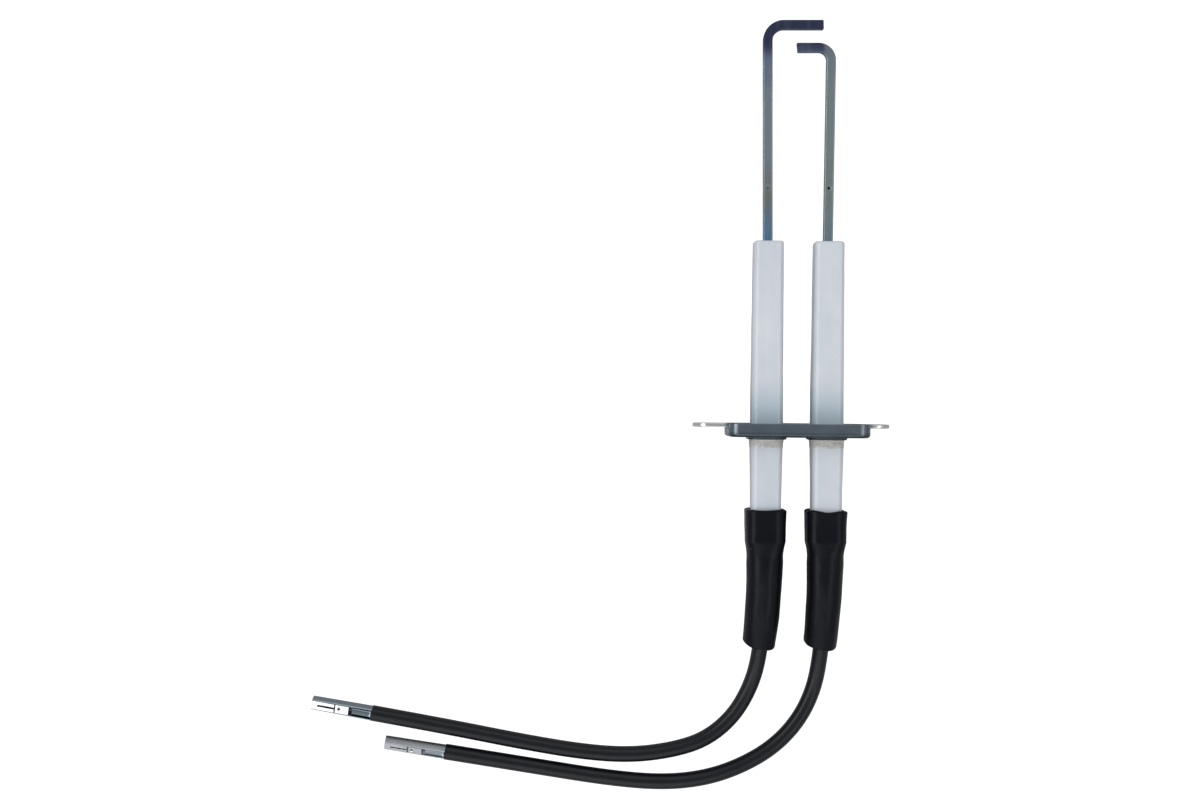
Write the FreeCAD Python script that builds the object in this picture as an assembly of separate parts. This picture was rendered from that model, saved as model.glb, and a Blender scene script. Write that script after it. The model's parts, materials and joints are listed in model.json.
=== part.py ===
import FreeCAD, Part
import math
import os

Vector = FreeCAD.Vector

# Twin spark electrode for a gas burner: two bent rods in square ceramic insulators, held side by side in
# a pressed steel flange, with push-on boots and leads behind it.
# Millimetres. +Y runs along the rods to their tips, +Z is up from the bench that the unit lies on, and
# +X points to the short ear. The origin is on the flange's electrode-side face, between the insulators.

# Flange
SHEET = 1.0                   # sheet thickness
TRAY_LENGTH = 35.0            # along X
TRAY_WIDTH = 18.0             # along Z
TRAY_DEPTH = 3.4              # from the ears' face to the tray's outer bottom
TRAY_CORNER = 3.0             # corner radius seen along the rods
TRAY_BEND = 1.2               # outer radius from the walls into the bottom
LONG_EAR = 8.4                # how far each ear stands out past the tray
SHORT_EAR = 5.4
EAR_WIDTH = 11.0
EAR_CORNER = 4.0
SCREW_HOLE_R = 1.8
LONG_EAR_HOLE_INSET = 3.5     # from the tray's end wall to the screw hole's centre
SHORT_EAR_HOLE_INSET = 2.8
COLLAR_WALL = 0.6
COLLAR_LIP = 0.6              # how far the collars stand out below the tray

# Insulators
PITCH = 15.1                  # between the two insulators' centres
INSULATOR_ABOVE = 45.4        # from the flange's face to the front end
INSULATOR_BELOW = 29.5        # from the flange's face to the rear end
FRONT_SIDE = 7.35             # across flats at the front end
WAIST_SIDE = 7.9              # across flats just below the collar
TAIL_SIDE = 7.45              # across flats of the straight tail that takes the boot
WAIST_BELOW_LIP = 1.0         # from the collar's lip to the waist
TAIL_TAPER = 11.0             # from the waist to the straight tail
INSULATOR_CORNER = 1.8
INSULATOR_CHAMFER = 0.4
BORE_CLEARANCE = 0.38         # from the rod's corners to the insulator's bore
PLUG_WALL = 0.5               # cement past the bore, in the counterbore at each end
PLUG_LENGTH = 3.6
PLUG_RECESS = 0.3             # how far the cement stays below the insulator's end
COLLAR_GAP = 0.25             # cement between insulator and collar
CEMENT_SKIRT = 2.1            # how far that cement shows below the collar's lip
FILL_RECESS = 0.6             # how far the tray's cement stays below the flange's face

# Electrode rods
ROD_WIDTH = 2.4               # in the plane of the bends
ROD_THICKNESS = 2.0
ROD_EDGE = 0.35
ROD_TAIL = 5.3                # bare rod behind the insulator
LEFT_REACH = 99.5             # flange's face to the centre line of the left arm, at the bend
RIGHT_REACH = 94.0
LEFT_TIP_X = 5.7
RIGHT_TIP_X = -0.9
LEFT_ROD_SHIFT = -0.1         # how far each rod sits off its insulator's axis
RIGHT_ROD_SHIFT = -0.2
LEFT_LEAN = -0.6              # degrees that each rod leans towards +X outside its insulator
RIGHT_LEAN = 0.4
ARM_SLOPE = 0.6               # degrees that both arms climb towards +X
LEFT_BEND_R = 4.0             # at the rod's centre line
RIGHT_BEND_R = 3.1
LEAN_BEND_R = 60.0
MARK_ABOVE = 58.8             # flange's face to the punch mark
MARK_R = 0.4
MARK_DEPTH = 0.2

# Splices, boots and leads
SPLICE_WALL = 0.68            # past the rod's corners
SPLICE_GAP = 0.8              # from the insulator's rear end to the splice
SPLICE_LENGTH = 8.2
WIRE_IN_SPLICE = 3.2
CONDUCTOR_R = 0.6
JACKET_R = 2.0
JACKET_BORE_CLEARANCE = 0.05
BOOT_GRIP = 8.1               # length of boot on the insulator's tail
BOOT_STRAIGHT = 3.5           # from the insulator's rear end to where the boot starts to droop
BOOT_DROOP_LENGTH = 23.4      # along the drooping axis
BOOT_DROOP_R = 72.0
BOOT_WALL = 1.1
BOOT_FLARE = 0.3              # extra width at the stretched front rim
BOOT_MOUTH = 6.2              # bore at the rear end
BOOT_THROAT = 7.1             # bore where it turns round, behind the insulator
LEFT_DROOP_SWAY = 15.0        # degrees that each droop turns from straight down towards -X
RIGHT_DROOP_SWAY = 10.0
LEAD_START_RUN = 8.5          # first straight run out of the splice

# Terminals: folded box receptacles for a flat tab 2.3 mm wide
TERMINAL_LENGTH = 15.4
STRIP = 0.28                  # strip thickness
BOX_WIDTH = 3.0
BOX_HEIGHT = 2.7
CRIMP_LENGTH = 5.2            # closed round the wire, from the jacket's end
CRIMP_WIDTH = 3.2
CRIMP_HEIGHT = 2.9
CRIMP_CORNER = 0.5
CRIMP_SLOT = 0.7              # open across the box between the crimp and the bridge
BRIDGE_LENGTH = 3.4           # folded plate with the locking hole
BRIDGE_GAP = 0.3              # open across the box between the bridge and the receptacle
SEAM = 0.5                    # slit along the receptacle's folded top
SEAM_LAND = 1.5               # uncut length at the receptacle's front end
LOCK_HOLE_R = 0.35
LOCK_HOLE_INSET = 0.9         # from the bridge's front edge
WIRE_IN_TERMINAL = 4.4
LEFT_TERMINAL_ROLL = 18.0     # degrees that each terminal's seam is tipped towards -Y
RIGHT_TERMINAL_ROLL = 42.0

# The leads' routes after their first runs. The bench is at half the tray's width below the axis, and a
# lead on it has its own axis one jacket radius higher.
LEFT_ROUTE = [
    (-8.3, -59.5, -4.6), (-10.3, -67.4, -6.6), (-14.5, -74.8, -7.0), (-21.2, -80.5, -7.0),
    (-29.3, -83.3, -7.0), (-40.0, -84.8, -7.0), (-52.0, -84.2, -7.0), (-68.0, -81.7, -7.0),
    (-87.0, -78.1, -7.0), (-106.3, -74.8, -7.0),
]
RIGHT_ROUTE = [
    (7.2, -58.5, -4.4), (5.9, -67.7, -6.8), (2.2, -75.5, -7.0), (-3.8, -82.1, -7.0),
    (-11.7, -87.0, -7.0), (-21.0, -90.4, -7.0), (-32.0, -91.7, -7.0), (-46.0, -90.7, -7.0),
    (-66.0, -87.7, -7.0), (-87.6, -84.4, -6.8),
]

UP = Vector(0, 0, 1)
REARWARD = Vector(0, -1, 0)

# Heights along Y that several pieces share
tray_floor = -(TRAY_DEPTH - SHEET)
collar_lip = -(TRAY_DEPTH + COLLAR_LIP)
waist = collar_lip - WAIST_BELOW_LIP
tail_start = waist - TAIL_TAPER
splice_front = -(INSULATOR_BELOW + SPLICE_GAP)
splice_rear = splice_front - SPLICE_LENGTH
collar_side = WAIST_SIDE + 2 * COLLAR_GAP
collar_corner = INSULATOR_CORNER + COLLAR_GAP
rod_corner_r = math.hypot(ROD_WIDTH / 2 - ROD_EDGE, ROD_THICKNESS / 2 - ROD_EDGE) + ROD_EDGE
bore_r = rod_corner_r + BORE_CLEARANCE
plug_r = bore_r + PLUG_WALL
splice_r = rod_corner_r + SPLICE_WALL


def frame_at(point, along, up=UP):
    """A placement at point whose local Z looks along the given direction and whose local Y is up."""
    z = Vector(along).normalize()
    y = (up - z * up.dot(z)).normalize()
    x = y.cross(z)
    return FreeCAD.Placement(FreeCAD.Matrix(
        x.x, y.x, z.x, point.x,
        x.y, y.y, z.y, point.y,
        x.z, y.z, z.z, point.z,
        0, 0, 0, 1,
    ))


def rounded_rect(width, height, corner, frame):
    """A closed wire, centred on the frame's origin: four straight sides joined by quarter circles."""
    edges = []
    straight_x, straight_y = width / 2 - corner, height / 2 - corner
    diagonal = corner * math.sqrt(0.5)
    for turn in range(4):
        flip = turn % 2
        a, b = (straight_y, straight_x) if flip else (straight_x, straight_y)
        spin = FreeCAD.Rotation(UP, 90 * turn)
        centre = Vector(a, b, 0)
        first = centre + Vector(corner, 0, 0)
        last = centre + Vector(0, corner, 0)
        middle = centre + Vector(diagonal, diagonal, 0)
        side_start = Vector(a + corner, -b, 0)
        edges.append(Part.LineSegment(spin.multVec(side_start), spin.multVec(first)).toShape())
        edges.append(
            Part.Arc(spin.multVec(first), spin.multVec(middle), spin.multVec(last)).toShape()
        )
    wire = Part.Wire(edges)
    wire.Placement = frame
    return wire


def prism(x, front, rear, width, height, corner):
    """A rounded-rectangle bar along Y, from its front end back to its rear end."""
    outline = rounded_rect(width, height, corner, frame_at(Vector(x, front, 0), REARWARD))
    return Part.Face(outline).extrude(Vector(0, rear - front, 0))


def cylinder(x, front, rear, radius):
    return Part.makeCylinder(radius, front - rear, Vector(x, front, 0), REARWARD)


def lofted(sections):
    """A solid through rounded squares, each given as (frame, side, corner radius)."""
    wires = [rounded_rect(side, side, corner, frame) for frame, side, corner in sections]
    return Part.makeLoft(wires, True, True)


def bent_path(points, radii):
    """Straight runs between the points, joined at each inner point by a tangent arc of its radius."""
    edges, start = [], points[0]
    for before, point, after, radius in zip(points, points[1:], points[2:], radii):
        inward = (point - before).normalize()
        outward = (after - point).normalize()
        half_turn = inward.getAngle(outward) / 2
        cut = radius * math.tan(half_turn)
        arc_start, arc_end = point - inward * cut, point + outward * cut
        to_centre = (outward - inward).normalize()
        middle = point + to_centre * (radius / math.cos(half_turn) - radius)
        edges.append(Part.LineSegment(start, arc_start).toShape())
        edges.append(Part.Arc(arc_start, middle, arc_end).toShape())
        start = arc_end
    edges.append(Part.LineSegment(start, points[-1]).toShape())
    return Part.Wire(edges)


def cord_radii(points):
    """Each bend's radius: 0.45 of its shorter run, over the tangent of half the turn."""
    radii = []
    for before, point, after in zip(points, points[1:], points[2:]):
        inward, outward = point - before, after - point
        shorter = min(inward.Length, outward.Length)
        radii.append(0.45 * shorter / math.tan(inward.getAngle(outward) / 2))
    return radii


def round_bar(path, radius):
    """A round bar along a path of straight runs and arcs."""
    first = path.Edges[0]
    profile = Part.Wire(Part.makeCircle(radius, first.valueAt(0), first.tangentAt(0)))
    return path.makePipeShell([profile], True, True)


def save(name, shape):
    if not shape.isValid():
        raise ValueError(name + " is not a valid shape")
    shape.exportStep("parts/" + name + ".step")
    return shape


def make_flange():
    """A shallow pressed tray with an ear at each end and a square collar round each insulator."""
    plate_start = -(TRAY_LENGTH / 2 + LONG_EAR)
    plate_end = TRAY_LENGTH / 2 + SHORT_EAR
    plate = prism((plate_start + plate_end) / 2, 0, -SHEET, plate_end - plate_start, EAR_WIDTH, EAR_CORNER)
    tray = prism(0, 0, -TRAY_DEPTH, TRAY_LENGTH, TRAY_WIDTH, TRAY_CORNER)
    bottom_edges = [e for e in tray.Edges if e.BoundBox.YMax < -TRAY_DEPTH + 1e-6]
    tray = tray.makeFillet(TRAY_BEND, bottom_edges)
    flange = plate.fuse(tray).cut(tray_cavity())
    for x in (-PITCH / 2, PITCH / 2):
        outer = collar_side + 2 * COLLAR_WALL
        flange = flange.fuse(prism(x, tray_floor, collar_lip, outer, outer, collar_corner + COLLAR_WALL))
    for x in (-PITCH / 2, PITCH / 2):
        flange = flange.cut(prism(x, 0, collar_lip, collar_side, collar_side, collar_corner))
    for x in (-(TRAY_LENGTH / 2 + LONG_EAR_HOLE_INSET), TRAY_LENGTH / 2 + SHORT_EAR_HOLE_INSET):
        flange = flange.cut(cylinder(x, 0, -SHEET, SCREW_HOLE_R))
    return flange.removeSplitter()


def tray_cavity():
    inside = TRAY_LENGTH - 2 * SHEET, TRAY_WIDTH - 2 * SHEET
    return prism(0, 0, tray_floor, inside[0], inside[1], TRAY_CORNER - SHEET)


def insulator_bar(x):
    """A square ceramic bar, not yet bored, widest just below the collar."""
    front, rear, step = INSULATOR_ABOVE, -INSULATOR_BELOW, INSULATOR_CHAMFER
    stations = [
        (front, FRONT_SIDE - 2 * step, INSULATOR_CORNER - step),
        (front - step, FRONT_SIDE, INSULATOR_CORNER),
        (waist, WAIST_SIDE, INSULATOR_CORNER),
        (tail_start, TAIL_SIDE, INSULATOR_CORNER),
        (rear + step, TAIL_SIDE, INSULATOR_CORNER),
        (rear, TAIL_SIDE - 2 * step, INSULATOR_CORNER - step),
    ]
    return lofted([(frame_at(Vector(x, y, 0), REARWARD), side, r) for y, side, r in stations])


def make_insulator(x):
    """The bar, bored through for its rod and counterbored at both ends for cement."""
    front, rear = INSULATOR_ABOVE, -INSULATOR_BELOW
    plug_depth = PLUG_LENGTH + PLUG_RECESS
    body = insulator_bar(x).cut(cylinder(x, front, rear, bore_r))
    body = body.cut(cylinder(x, front, front - plug_depth, plug_r))
    return body.cut(cylinder(x, rear + plug_depth, rear, plug_r))


def make_rod(x, reach, tip_x, lean, bend_r):
    """A flat rod with soft edges: straight in its insulator, a slight lean outside it, and one bend."""
    mouth = INSULATOR_ABOVE - PLUG_LENGTH / 2
    corner_x = x + (reach - mouth) * math.tan(math.radians(lean))
    tip_y = reach + (tip_x - corner_x) * math.tan(math.radians(ARM_SLOPE))
    points = [
        Vector(x, -INSULATOR_BELOW - ROD_TAIL, 0), Vector(x, mouth, 0),
        Vector(corner_x, reach, 0), Vector(tip_x, tip_y, 0),
    ]
    path = bent_path(points, [LEAN_BEND_R, bend_r])
    profile = rounded_rect(ROD_WIDTH, ROD_THICKNESS, ROD_EDGE, frame_at(points[0], -REARWARD))
    sweep = Part.BRepOffsetAPI.MakePipeShell(path)
    sweep.setBiNormalMode(UP)
    sweep.add(profile)
    sweep.build()
    sweep.makeSolid()
    rod = sweep.shape()
    mark_x = x + (MARK_ABOVE - mouth) * math.tan(math.radians(lean))
    punch_r = (MARK_R ** 2 + MARK_DEPTH ** 2) / (2 * MARK_DEPTH)
    punch_z = ROD_THICKNESS / 2 + punch_r - MARK_DEPTH
    return rod.cut(Part.makeSphere(punch_r, Vector(mark_x, MARK_ABOVE, punch_z)))


def make_boot(x, sway):
    """A sleeve that is stretched square over the insulator's tail, then round, and droops to the rear."""
    side_down = Vector(-math.sin(math.radians(sway)), 0, -math.cos(math.radians(sway)))
    front = -(INSULATOR_BELOW - BOOT_GRIP)
    droop_start = -(INSULATOR_BELOW + BOOT_STRAIGHT)
    length = BOOT_GRIP + BOOT_STRAIGHT + BOOT_DROOP_LENGTH

    def frame(distance):
        past = distance - (BOOT_GRIP + BOOT_STRAIGHT)
        if past <= 0:
            return frame_at(Vector(x, front - distance, 0), REARWARD)
        angle = past / BOOT_DROOP_R
        point = Vector(x, droop_start - BOOT_DROOP_R * math.sin(angle), 0)
        point += side_down * (BOOT_DROOP_R * (1 - math.cos(angle)))
        return frame_at(point, REARWARD * math.cos(angle) + side_down * math.sin(angle))

    grip_corner = INSULATOR_CORNER + BOOT_WALL
    grip = TAIL_SIDE + 2 * BOOT_WALL
    throat = BOOT_THROAT + 2 * BOOT_WALL
    mouth = BOOT_MOUTH + 2 * BOOT_WALL
    stations = [
        (0, grip + BOOT_FLARE, grip_corner), (1.2, grip, grip_corner), (BOOT_GRIP, grip, grip_corner),
        (BOOT_GRIP + BOOT_STRAIGHT, throat, throat * 0.48),
    ]
    for share in (0.25, 0.5, 0.75, 1.0):
        side = throat + (mouth - throat) * share
        stations.append((length - BOOT_DROOP_LENGTH * (1 - share), side, side * 0.48))
    outside = lofted([(frame(d), side, corner) for d, side, corner in stations])
    hollow = []
    for distance, side, corner in stations[3:]:
        bore = side - 2 * BOOT_WALL
        hollow.append((frame(distance), bore, bore * 0.48))
    pocket = prism(x, front, -INSULATOR_BELOW, TAIL_SIDE, TAIL_SIDE, INSULATOR_CORNER)
    shoulder = [(frame(BOOT_GRIP), TAIL_SIDE, INSULATOR_CORNER), hollow[0]]
    return outside.cut(pocket).cut(lofted(shoulder)).cut(lofted(hollow))


def make_terminal():
    """A folded box along +X from the jacket's end, seam up: crimp, open slot, bridge and receptacle."""
    crimp_frame = frame_at(Vector(0, 0, 0), Vector(1, 0, 0))
    crimp = Part.Face(rounded_rect(CRIMP_WIDTH, CRIMP_HEIGHT, CRIMP_CORNER, crimp_frame))
    terminal = crimp.extrude(Vector(CRIMP_LENGTH, 0, 0))
    box_length = TERMINAL_LENGTH - CRIMP_LENGTH
    box_corner = Vector(CRIMP_LENGTH, -BOX_WIDTH / 2, -BOX_HEIGHT / 2)
    inside = BOX_WIDTH - 2 * STRIP, BOX_HEIGHT - 2 * STRIP
    box = Part.makeBox(box_length, BOX_WIDTH, BOX_HEIGHT, box_corner)
    box = box.cut(Part.makeBox(box_length, inside[0], inside[1], box_corner + Vector(0, STRIP, STRIP)))

    top_inside = BOX_HEIGHT / 2 - STRIP
    bridge_front = CRIMP_LENGTH + CRIMP_SLOT + BRIDGE_LENGTH
    seam_start = bridge_front + BRIDGE_GAP
    openings = [
        (CRIMP_LENGTH, CRIMP_SLOT, inside[0]),
        (bridge_front, BRIDGE_GAP, inside[0]),
        (seam_start, TERMINAL_LENGTH - SEAM_LAND - seam_start, SEAM),
    ]
    for start, length, width in openings:
        box = box.cut(Part.makeBox(length, width, STRIP, Vector(start, -width / 2, top_inside)))
    lock = Vector(bridge_front - LOCK_HOLE_INSET, 0, top_inside)
    box = box.cut(Part.makeCylinder(LOCK_HOLE_R, STRIP, lock))
    wire_hole = Part.makeCylinder(CONDUCTOR_R, WIRE_IN_TERMINAL, Vector(0, 0, 0), Vector(1, 0, 0))
    return terminal.fuse(box).cut(wire_hole).removeSplitter()


def make_side(side, x, rod_shift, rod_sizes, sway, route, roll):
    """Everything that one electrode has, from its rod to its lead's terminal."""
    rod_x = x + rod_shift
    save("insulator_" + side, make_insulator(x))
    rod = save("electrode_" + side, make_rod(rod_x, *rod_sizes))

    front_end = INSULATOR_ABOVE - PLUG_RECESS
    rear_end = -(INSULATOR_BELOW - PLUG_RECESS)
    save("front_cement_" + side, cylinder(x, front_end, front_end - PLUG_LENGTH, plug_r).cut(rod))
    save("rear_cement_" + side, cylinder(x, rear_end + PLUG_LENGTH, rear_end, plug_r).cut(rod))
    skirt = prism(x, tray_floor, collar_lip - CEMENT_SKIRT, collar_side, collar_side, collar_corner)
    save("collar_cement_" + side, skirt.cut(insulator_bar(x)))
    save("boot_" + side, make_boot(x, sway))

    exit_point = Vector(rod_x, splice_rear, 0)
    points = [exit_point, exit_point + REARWARD * LEAD_START_RUN] + [Vector(*p) for p in route]
    radii = cord_radii(points)
    path = bent_path(points, radii)
    end_direction = (points[-1] - points[-2]).normalize()
    wire_start = Part.LineSegment(exit_point - REARWARD * WIRE_IN_SPLICE, exit_point).toShape()
    wire_end = Part.LineSegment(points[-1], points[-1] + end_direction * WIRE_IN_TERMINAL).toShape()
    jacket = round_bar(path, JACKET_R)
    print("lead", side, "radii", [round(r, 1) for r in radii], "length", round(path.Length, 2))
    print("  volume", round(jacket.Volume, 2), "section x length",
          round(math.pi * JACKET_R ** 2 * path.Length, 2))
    bore = round_bar(path, CONDUCTOR_R + JACKET_BORE_CLEARANCE)
    save("lead_jacket_" + side, jacket.cut(bore))
    conductor = round_bar(Part.Wire([wire_start] + path.Edges + [wire_end]), CONDUCTOR_R)
    save("conductor_" + side, conductor)

    splice = cylinder(rod_x, splice_front, splice_rear, splice_r).cut(rod)
    wire_hole = cylinder(rod_x, splice_rear + WIRE_IN_SPLICE, splice_rear, CONDUCTOR_R)
    save("crimp_splice_" + side, splice.cut(wire_hole))

    terminal = make_terminal()
    terminal.rotate(Vector(0, 0, 0), Vector(1, 0, 0), -roll)
    across = UP.cross(end_direction).normalize()
    lift = end_direction.cross(across)
    terminal.Placement = FreeCAD.Placement(FreeCAD.Matrix(
        end_direction.x, across.x, lift.x, points[-1].x,
        end_direction.y, across.y, lift.y, points[-1].y,
        end_direction.z, across.z, lift.z, points[-1].z,
        0, 0, 0, 1,
    )).multiply(terminal.Placement)
    save("terminal_" + side, terminal)


def make_tray_cement():
    """Cement cast round the insulators in the tray, a little below the flange's face."""
    above_fill = Part.makeBox(TRAY_LENGTH, FILL_RECESS, TRAY_WIDTH,
                              Vector(-TRAY_LENGTH / 2, -FILL_RECESS, -TRAY_WIDTH / 2))
    cement = tray_cavity().cut(above_fill)
    for x in (-PITCH / 2, PITCH / 2):
        cement = cement.cut(insulator_bar(x))
    return cement


def main():
    os.makedirs("parts", exist_ok=True)
    save("mounting_flange", make_flange())
    save("tray_cement", make_tray_cement())
    left_rod = LEFT_REACH, LEFT_TIP_X, LEFT_LEAN, LEFT_BEND_R
    right_rod = RIGHT_REACH, RIGHT_TIP_X, RIGHT_LEAN, RIGHT_BEND_R
    make_side("left", -PITCH / 2, LEFT_ROD_SHIFT, left_rod, LEFT_DROOP_SWAY, LEFT_ROUTE, LEFT_TERMINAL_ROLL)
    make_side(
        "right", PITCH / 2, RIGHT_ROD_SHIFT, right_rod, RIGHT_DROOP_SWAY, RIGHT_ROUTE, RIGHT_TERMINAL_ROLL
    )


main()
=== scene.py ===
import json
import math

import bmesh
import bpy
import numpy as np
from bpy.props import FloatProperty, FloatVectorProperty, PointerProperty
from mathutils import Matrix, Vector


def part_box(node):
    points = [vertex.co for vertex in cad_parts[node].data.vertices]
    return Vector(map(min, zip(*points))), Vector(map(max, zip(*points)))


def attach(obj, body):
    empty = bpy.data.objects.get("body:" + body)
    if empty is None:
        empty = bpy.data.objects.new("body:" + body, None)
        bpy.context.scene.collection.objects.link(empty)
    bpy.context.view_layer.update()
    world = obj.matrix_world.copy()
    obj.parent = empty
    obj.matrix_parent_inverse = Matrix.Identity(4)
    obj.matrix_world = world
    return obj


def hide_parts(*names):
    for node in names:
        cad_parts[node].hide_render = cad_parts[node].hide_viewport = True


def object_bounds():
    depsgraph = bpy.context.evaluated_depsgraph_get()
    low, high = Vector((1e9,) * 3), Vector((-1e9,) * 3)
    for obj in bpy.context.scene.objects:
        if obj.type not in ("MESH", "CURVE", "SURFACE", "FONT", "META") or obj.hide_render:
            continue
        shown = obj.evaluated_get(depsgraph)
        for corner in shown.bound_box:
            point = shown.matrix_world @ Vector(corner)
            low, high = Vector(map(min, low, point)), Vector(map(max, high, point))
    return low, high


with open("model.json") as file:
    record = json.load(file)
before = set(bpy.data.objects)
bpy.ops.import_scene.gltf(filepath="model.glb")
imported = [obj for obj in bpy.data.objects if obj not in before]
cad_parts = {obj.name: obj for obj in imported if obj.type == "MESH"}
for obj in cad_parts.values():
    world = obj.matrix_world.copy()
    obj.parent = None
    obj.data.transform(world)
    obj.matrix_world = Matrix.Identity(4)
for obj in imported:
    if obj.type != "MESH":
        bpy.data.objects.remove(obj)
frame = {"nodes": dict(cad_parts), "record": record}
CAD_BOX = [list(corner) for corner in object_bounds()]

bl_info = {
    "name": "Twin spark electrode",
    "version": (1, 0, 0),
    "blender": (4, 5, 0),
    "location": "3D View > Sidebar > Spark electrode",
    "description": "Builds the finished surfaces of a burner's twin spark electrode",
    "category": "Object",
}

# Metres, in the electrode's own frame: +Y runs along the rods to their tips, +Z is up from the bench, and the
# origin is on the flange's electrode-side face, between the insulators.
MM = 0.001
SIDES = ("left", "right")
SEEDS = {"left": 11, "right": 47}

# Each lead's route from its splice to its terminal. The bench is at half the flange's width below the axis, and
# a lead on it has its own axis one jacket radius higher.
ROUTES = {
    "left": [
        (-0.00765, -0.0385, 0.0), (-0.00765, -0.0470, 0.0), (-0.0083, -0.0595, -0.0046),
        (-0.0103, -0.0674, -0.0066), (-0.0145, -0.0748, -0.0070), (-0.0212, -0.0805, -0.0070),
        (-0.0293, -0.0833, -0.0070), (-0.0400, -0.0848, -0.0070), (-0.0520, -0.0842, -0.0070),
        (-0.0680, -0.0817, -0.0070), (-0.0870, -0.0781, -0.0070), (-0.1063, -0.0748, -0.0070),
    ],
    "right": [
        (0.00735, -0.0385, 0.0), (0.00735, -0.0470, 0.0), (0.0072, -0.0585, -0.0044),
        (0.0059, -0.0677, -0.0068), (0.0022, -0.0755, -0.0070), (-0.0038, -0.0821, -0.0070),
        (-0.0117, -0.0870, -0.0070), (-0.0210, -0.0904, -0.0070), (-0.0320, -0.0917, -0.0070),
        (-0.0460, -0.0907, -0.0070), (-0.0660, -0.0877, -0.0070), (-0.0876, -0.0844, -0.0068),
    ],
}

# How the two rods differ. Leans and the arms' slope are in degrees towards +X. Bends are at the middle line.
ROD_LEANS = {"left": -0.6, "right": 0.4}
ROD_BENDS = {"left": 4.0 * MM, "right": 3.1 * MM}
TIP_CUTS = {"left": 0.02, "right": 0.10}
ARM_SLOPE = 0.6
LEAN_START = 1.8 * MM
LEAN_BEND = 60 * MM

# The boots run straight past the insulator, then droop towards the bench and sway towards -X, in degrees. Their
# skin is given as millimetres behind the front rim and the outer half width there.
BOOT_STRAIGHT = 3.5 * MM
BOOT_DROOP_LENGTH = 23.4 * MM
BOOT_DROOP_BEND = 72 * MM
BOOT_SWAYS = {"left": 15.0, "right": 10.0}
BOOT_RIM_DIPS = {"left": 0.15 * MM, "right": 0.5 * MM}
BOOT_SKIN = ((0, 5.10), (7.9, 4.92), (10.2, 4.70), (12.6, 4.62), (22.5, 4.39), (35.0, 4.18))

# Each softbox's place in metres, its width and length in metres, and its power in watts.
LAMPS = (
    ("left_softbox", (-0.9, 0.05, 0.75), (0.45, 1.4), 5.3),
    ("right_softbox", (0.62, -0.15, 0.85), (0.35, 1.2), 2.2),
    ("top_softbox", (0.1, 1.0, 0.9), (0.9, 0.9), 1.6),
    ("front_softbox", (-0.28, -0.88, 0.78), (1.1, 1.1), 3.9),
)
LAMP_AIM = (-0.03, 0.0, 0.0)
WORLD_STRENGTH = 0.9
BOARD_REACH = 2.5
CAMERA_PLACE = (-49.15 * MM, 4.5 * MM, 0.4)
CAMERA_TURN = 0.6
LENS, SENSOR = 48.0, 36.0


def linear(code):
    """An sRGB hex colour as linear red, green, blue and alpha."""
    channels = [((code >> shift) & 255) / 255 for shift in (16, 8, 0)]
    return tuple(c / 12.92 if c <= 0.04045 else ((c + 0.055) / 1.055) ** 2.4 for c in channels) + (1.0,)


# Shades of wear and dirt, and of painted shade on the flange's bottom bend and the terminals' folded walls,
# which go with a finish and are not the user's to choose.
ZINC_STAIN = linear(0x62676A)
# Painted shade: the dark band on the tray's bottom bend, also laid over the bottom and the collars.
ZINC_PAINTED_SHADE = linear(0x2B3538)
GLAZE_PALE = linear(0xCDD0D3)
GLAZE_SPECK = linear(0x8F9294)
CEMENT_DARK_GRIT = linear(0x99958D)
CEMENT_PALE_GRIT = linear(0xD6D4CE)
ROD_FLECK = linear(0xA6B1B8)
ROD_PIT = linear(0x5C6064)
# Dark colour in the punch marks.
PUNCH_MARK_DARK = linear(0x16181B)
RUBBER_SPECK = linear(0x8A7B6B)
BRASS_DULL = linear(0x6B5433)
COPPER_OXIDE = linear(0x5A463A)
TIN_CRIMPED = linear(0x808A90)
# Painted shade: the terminals' folded walls, dark grey on the left and light grey on the right, for how light
# falls on each.
TIN_WALLS_PAINTED_SHADE = {"left": linear(0x858F96), "right": linear(0xD6D8DB)}
WHITE = linear(0xFFFFFF)
SKY = [
    (0.0, linear(0x9EA1A4)), (0.22, linear(0xC6C9CB)), (0.5, linear(0xE6E8EA)), (0.75, linear(0xD6D9DC)),
    (1.0, linear(0xBFC3C7)),
]


def length(name, description, millimetres):
    return FloatProperty(name=name, description=description, default=millimetres * MM, unit="LENGTH")


def angle(name, description, degrees):
    return FloatProperty(name=name, description=description, default=math.radians(degrees), subtype="ANGLE")


def colour(name, description, code):
    return FloatVectorProperty(
        name=name, description=description, default=linear(code), subtype="COLOR", size=4, min=0, max=1
    )


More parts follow.
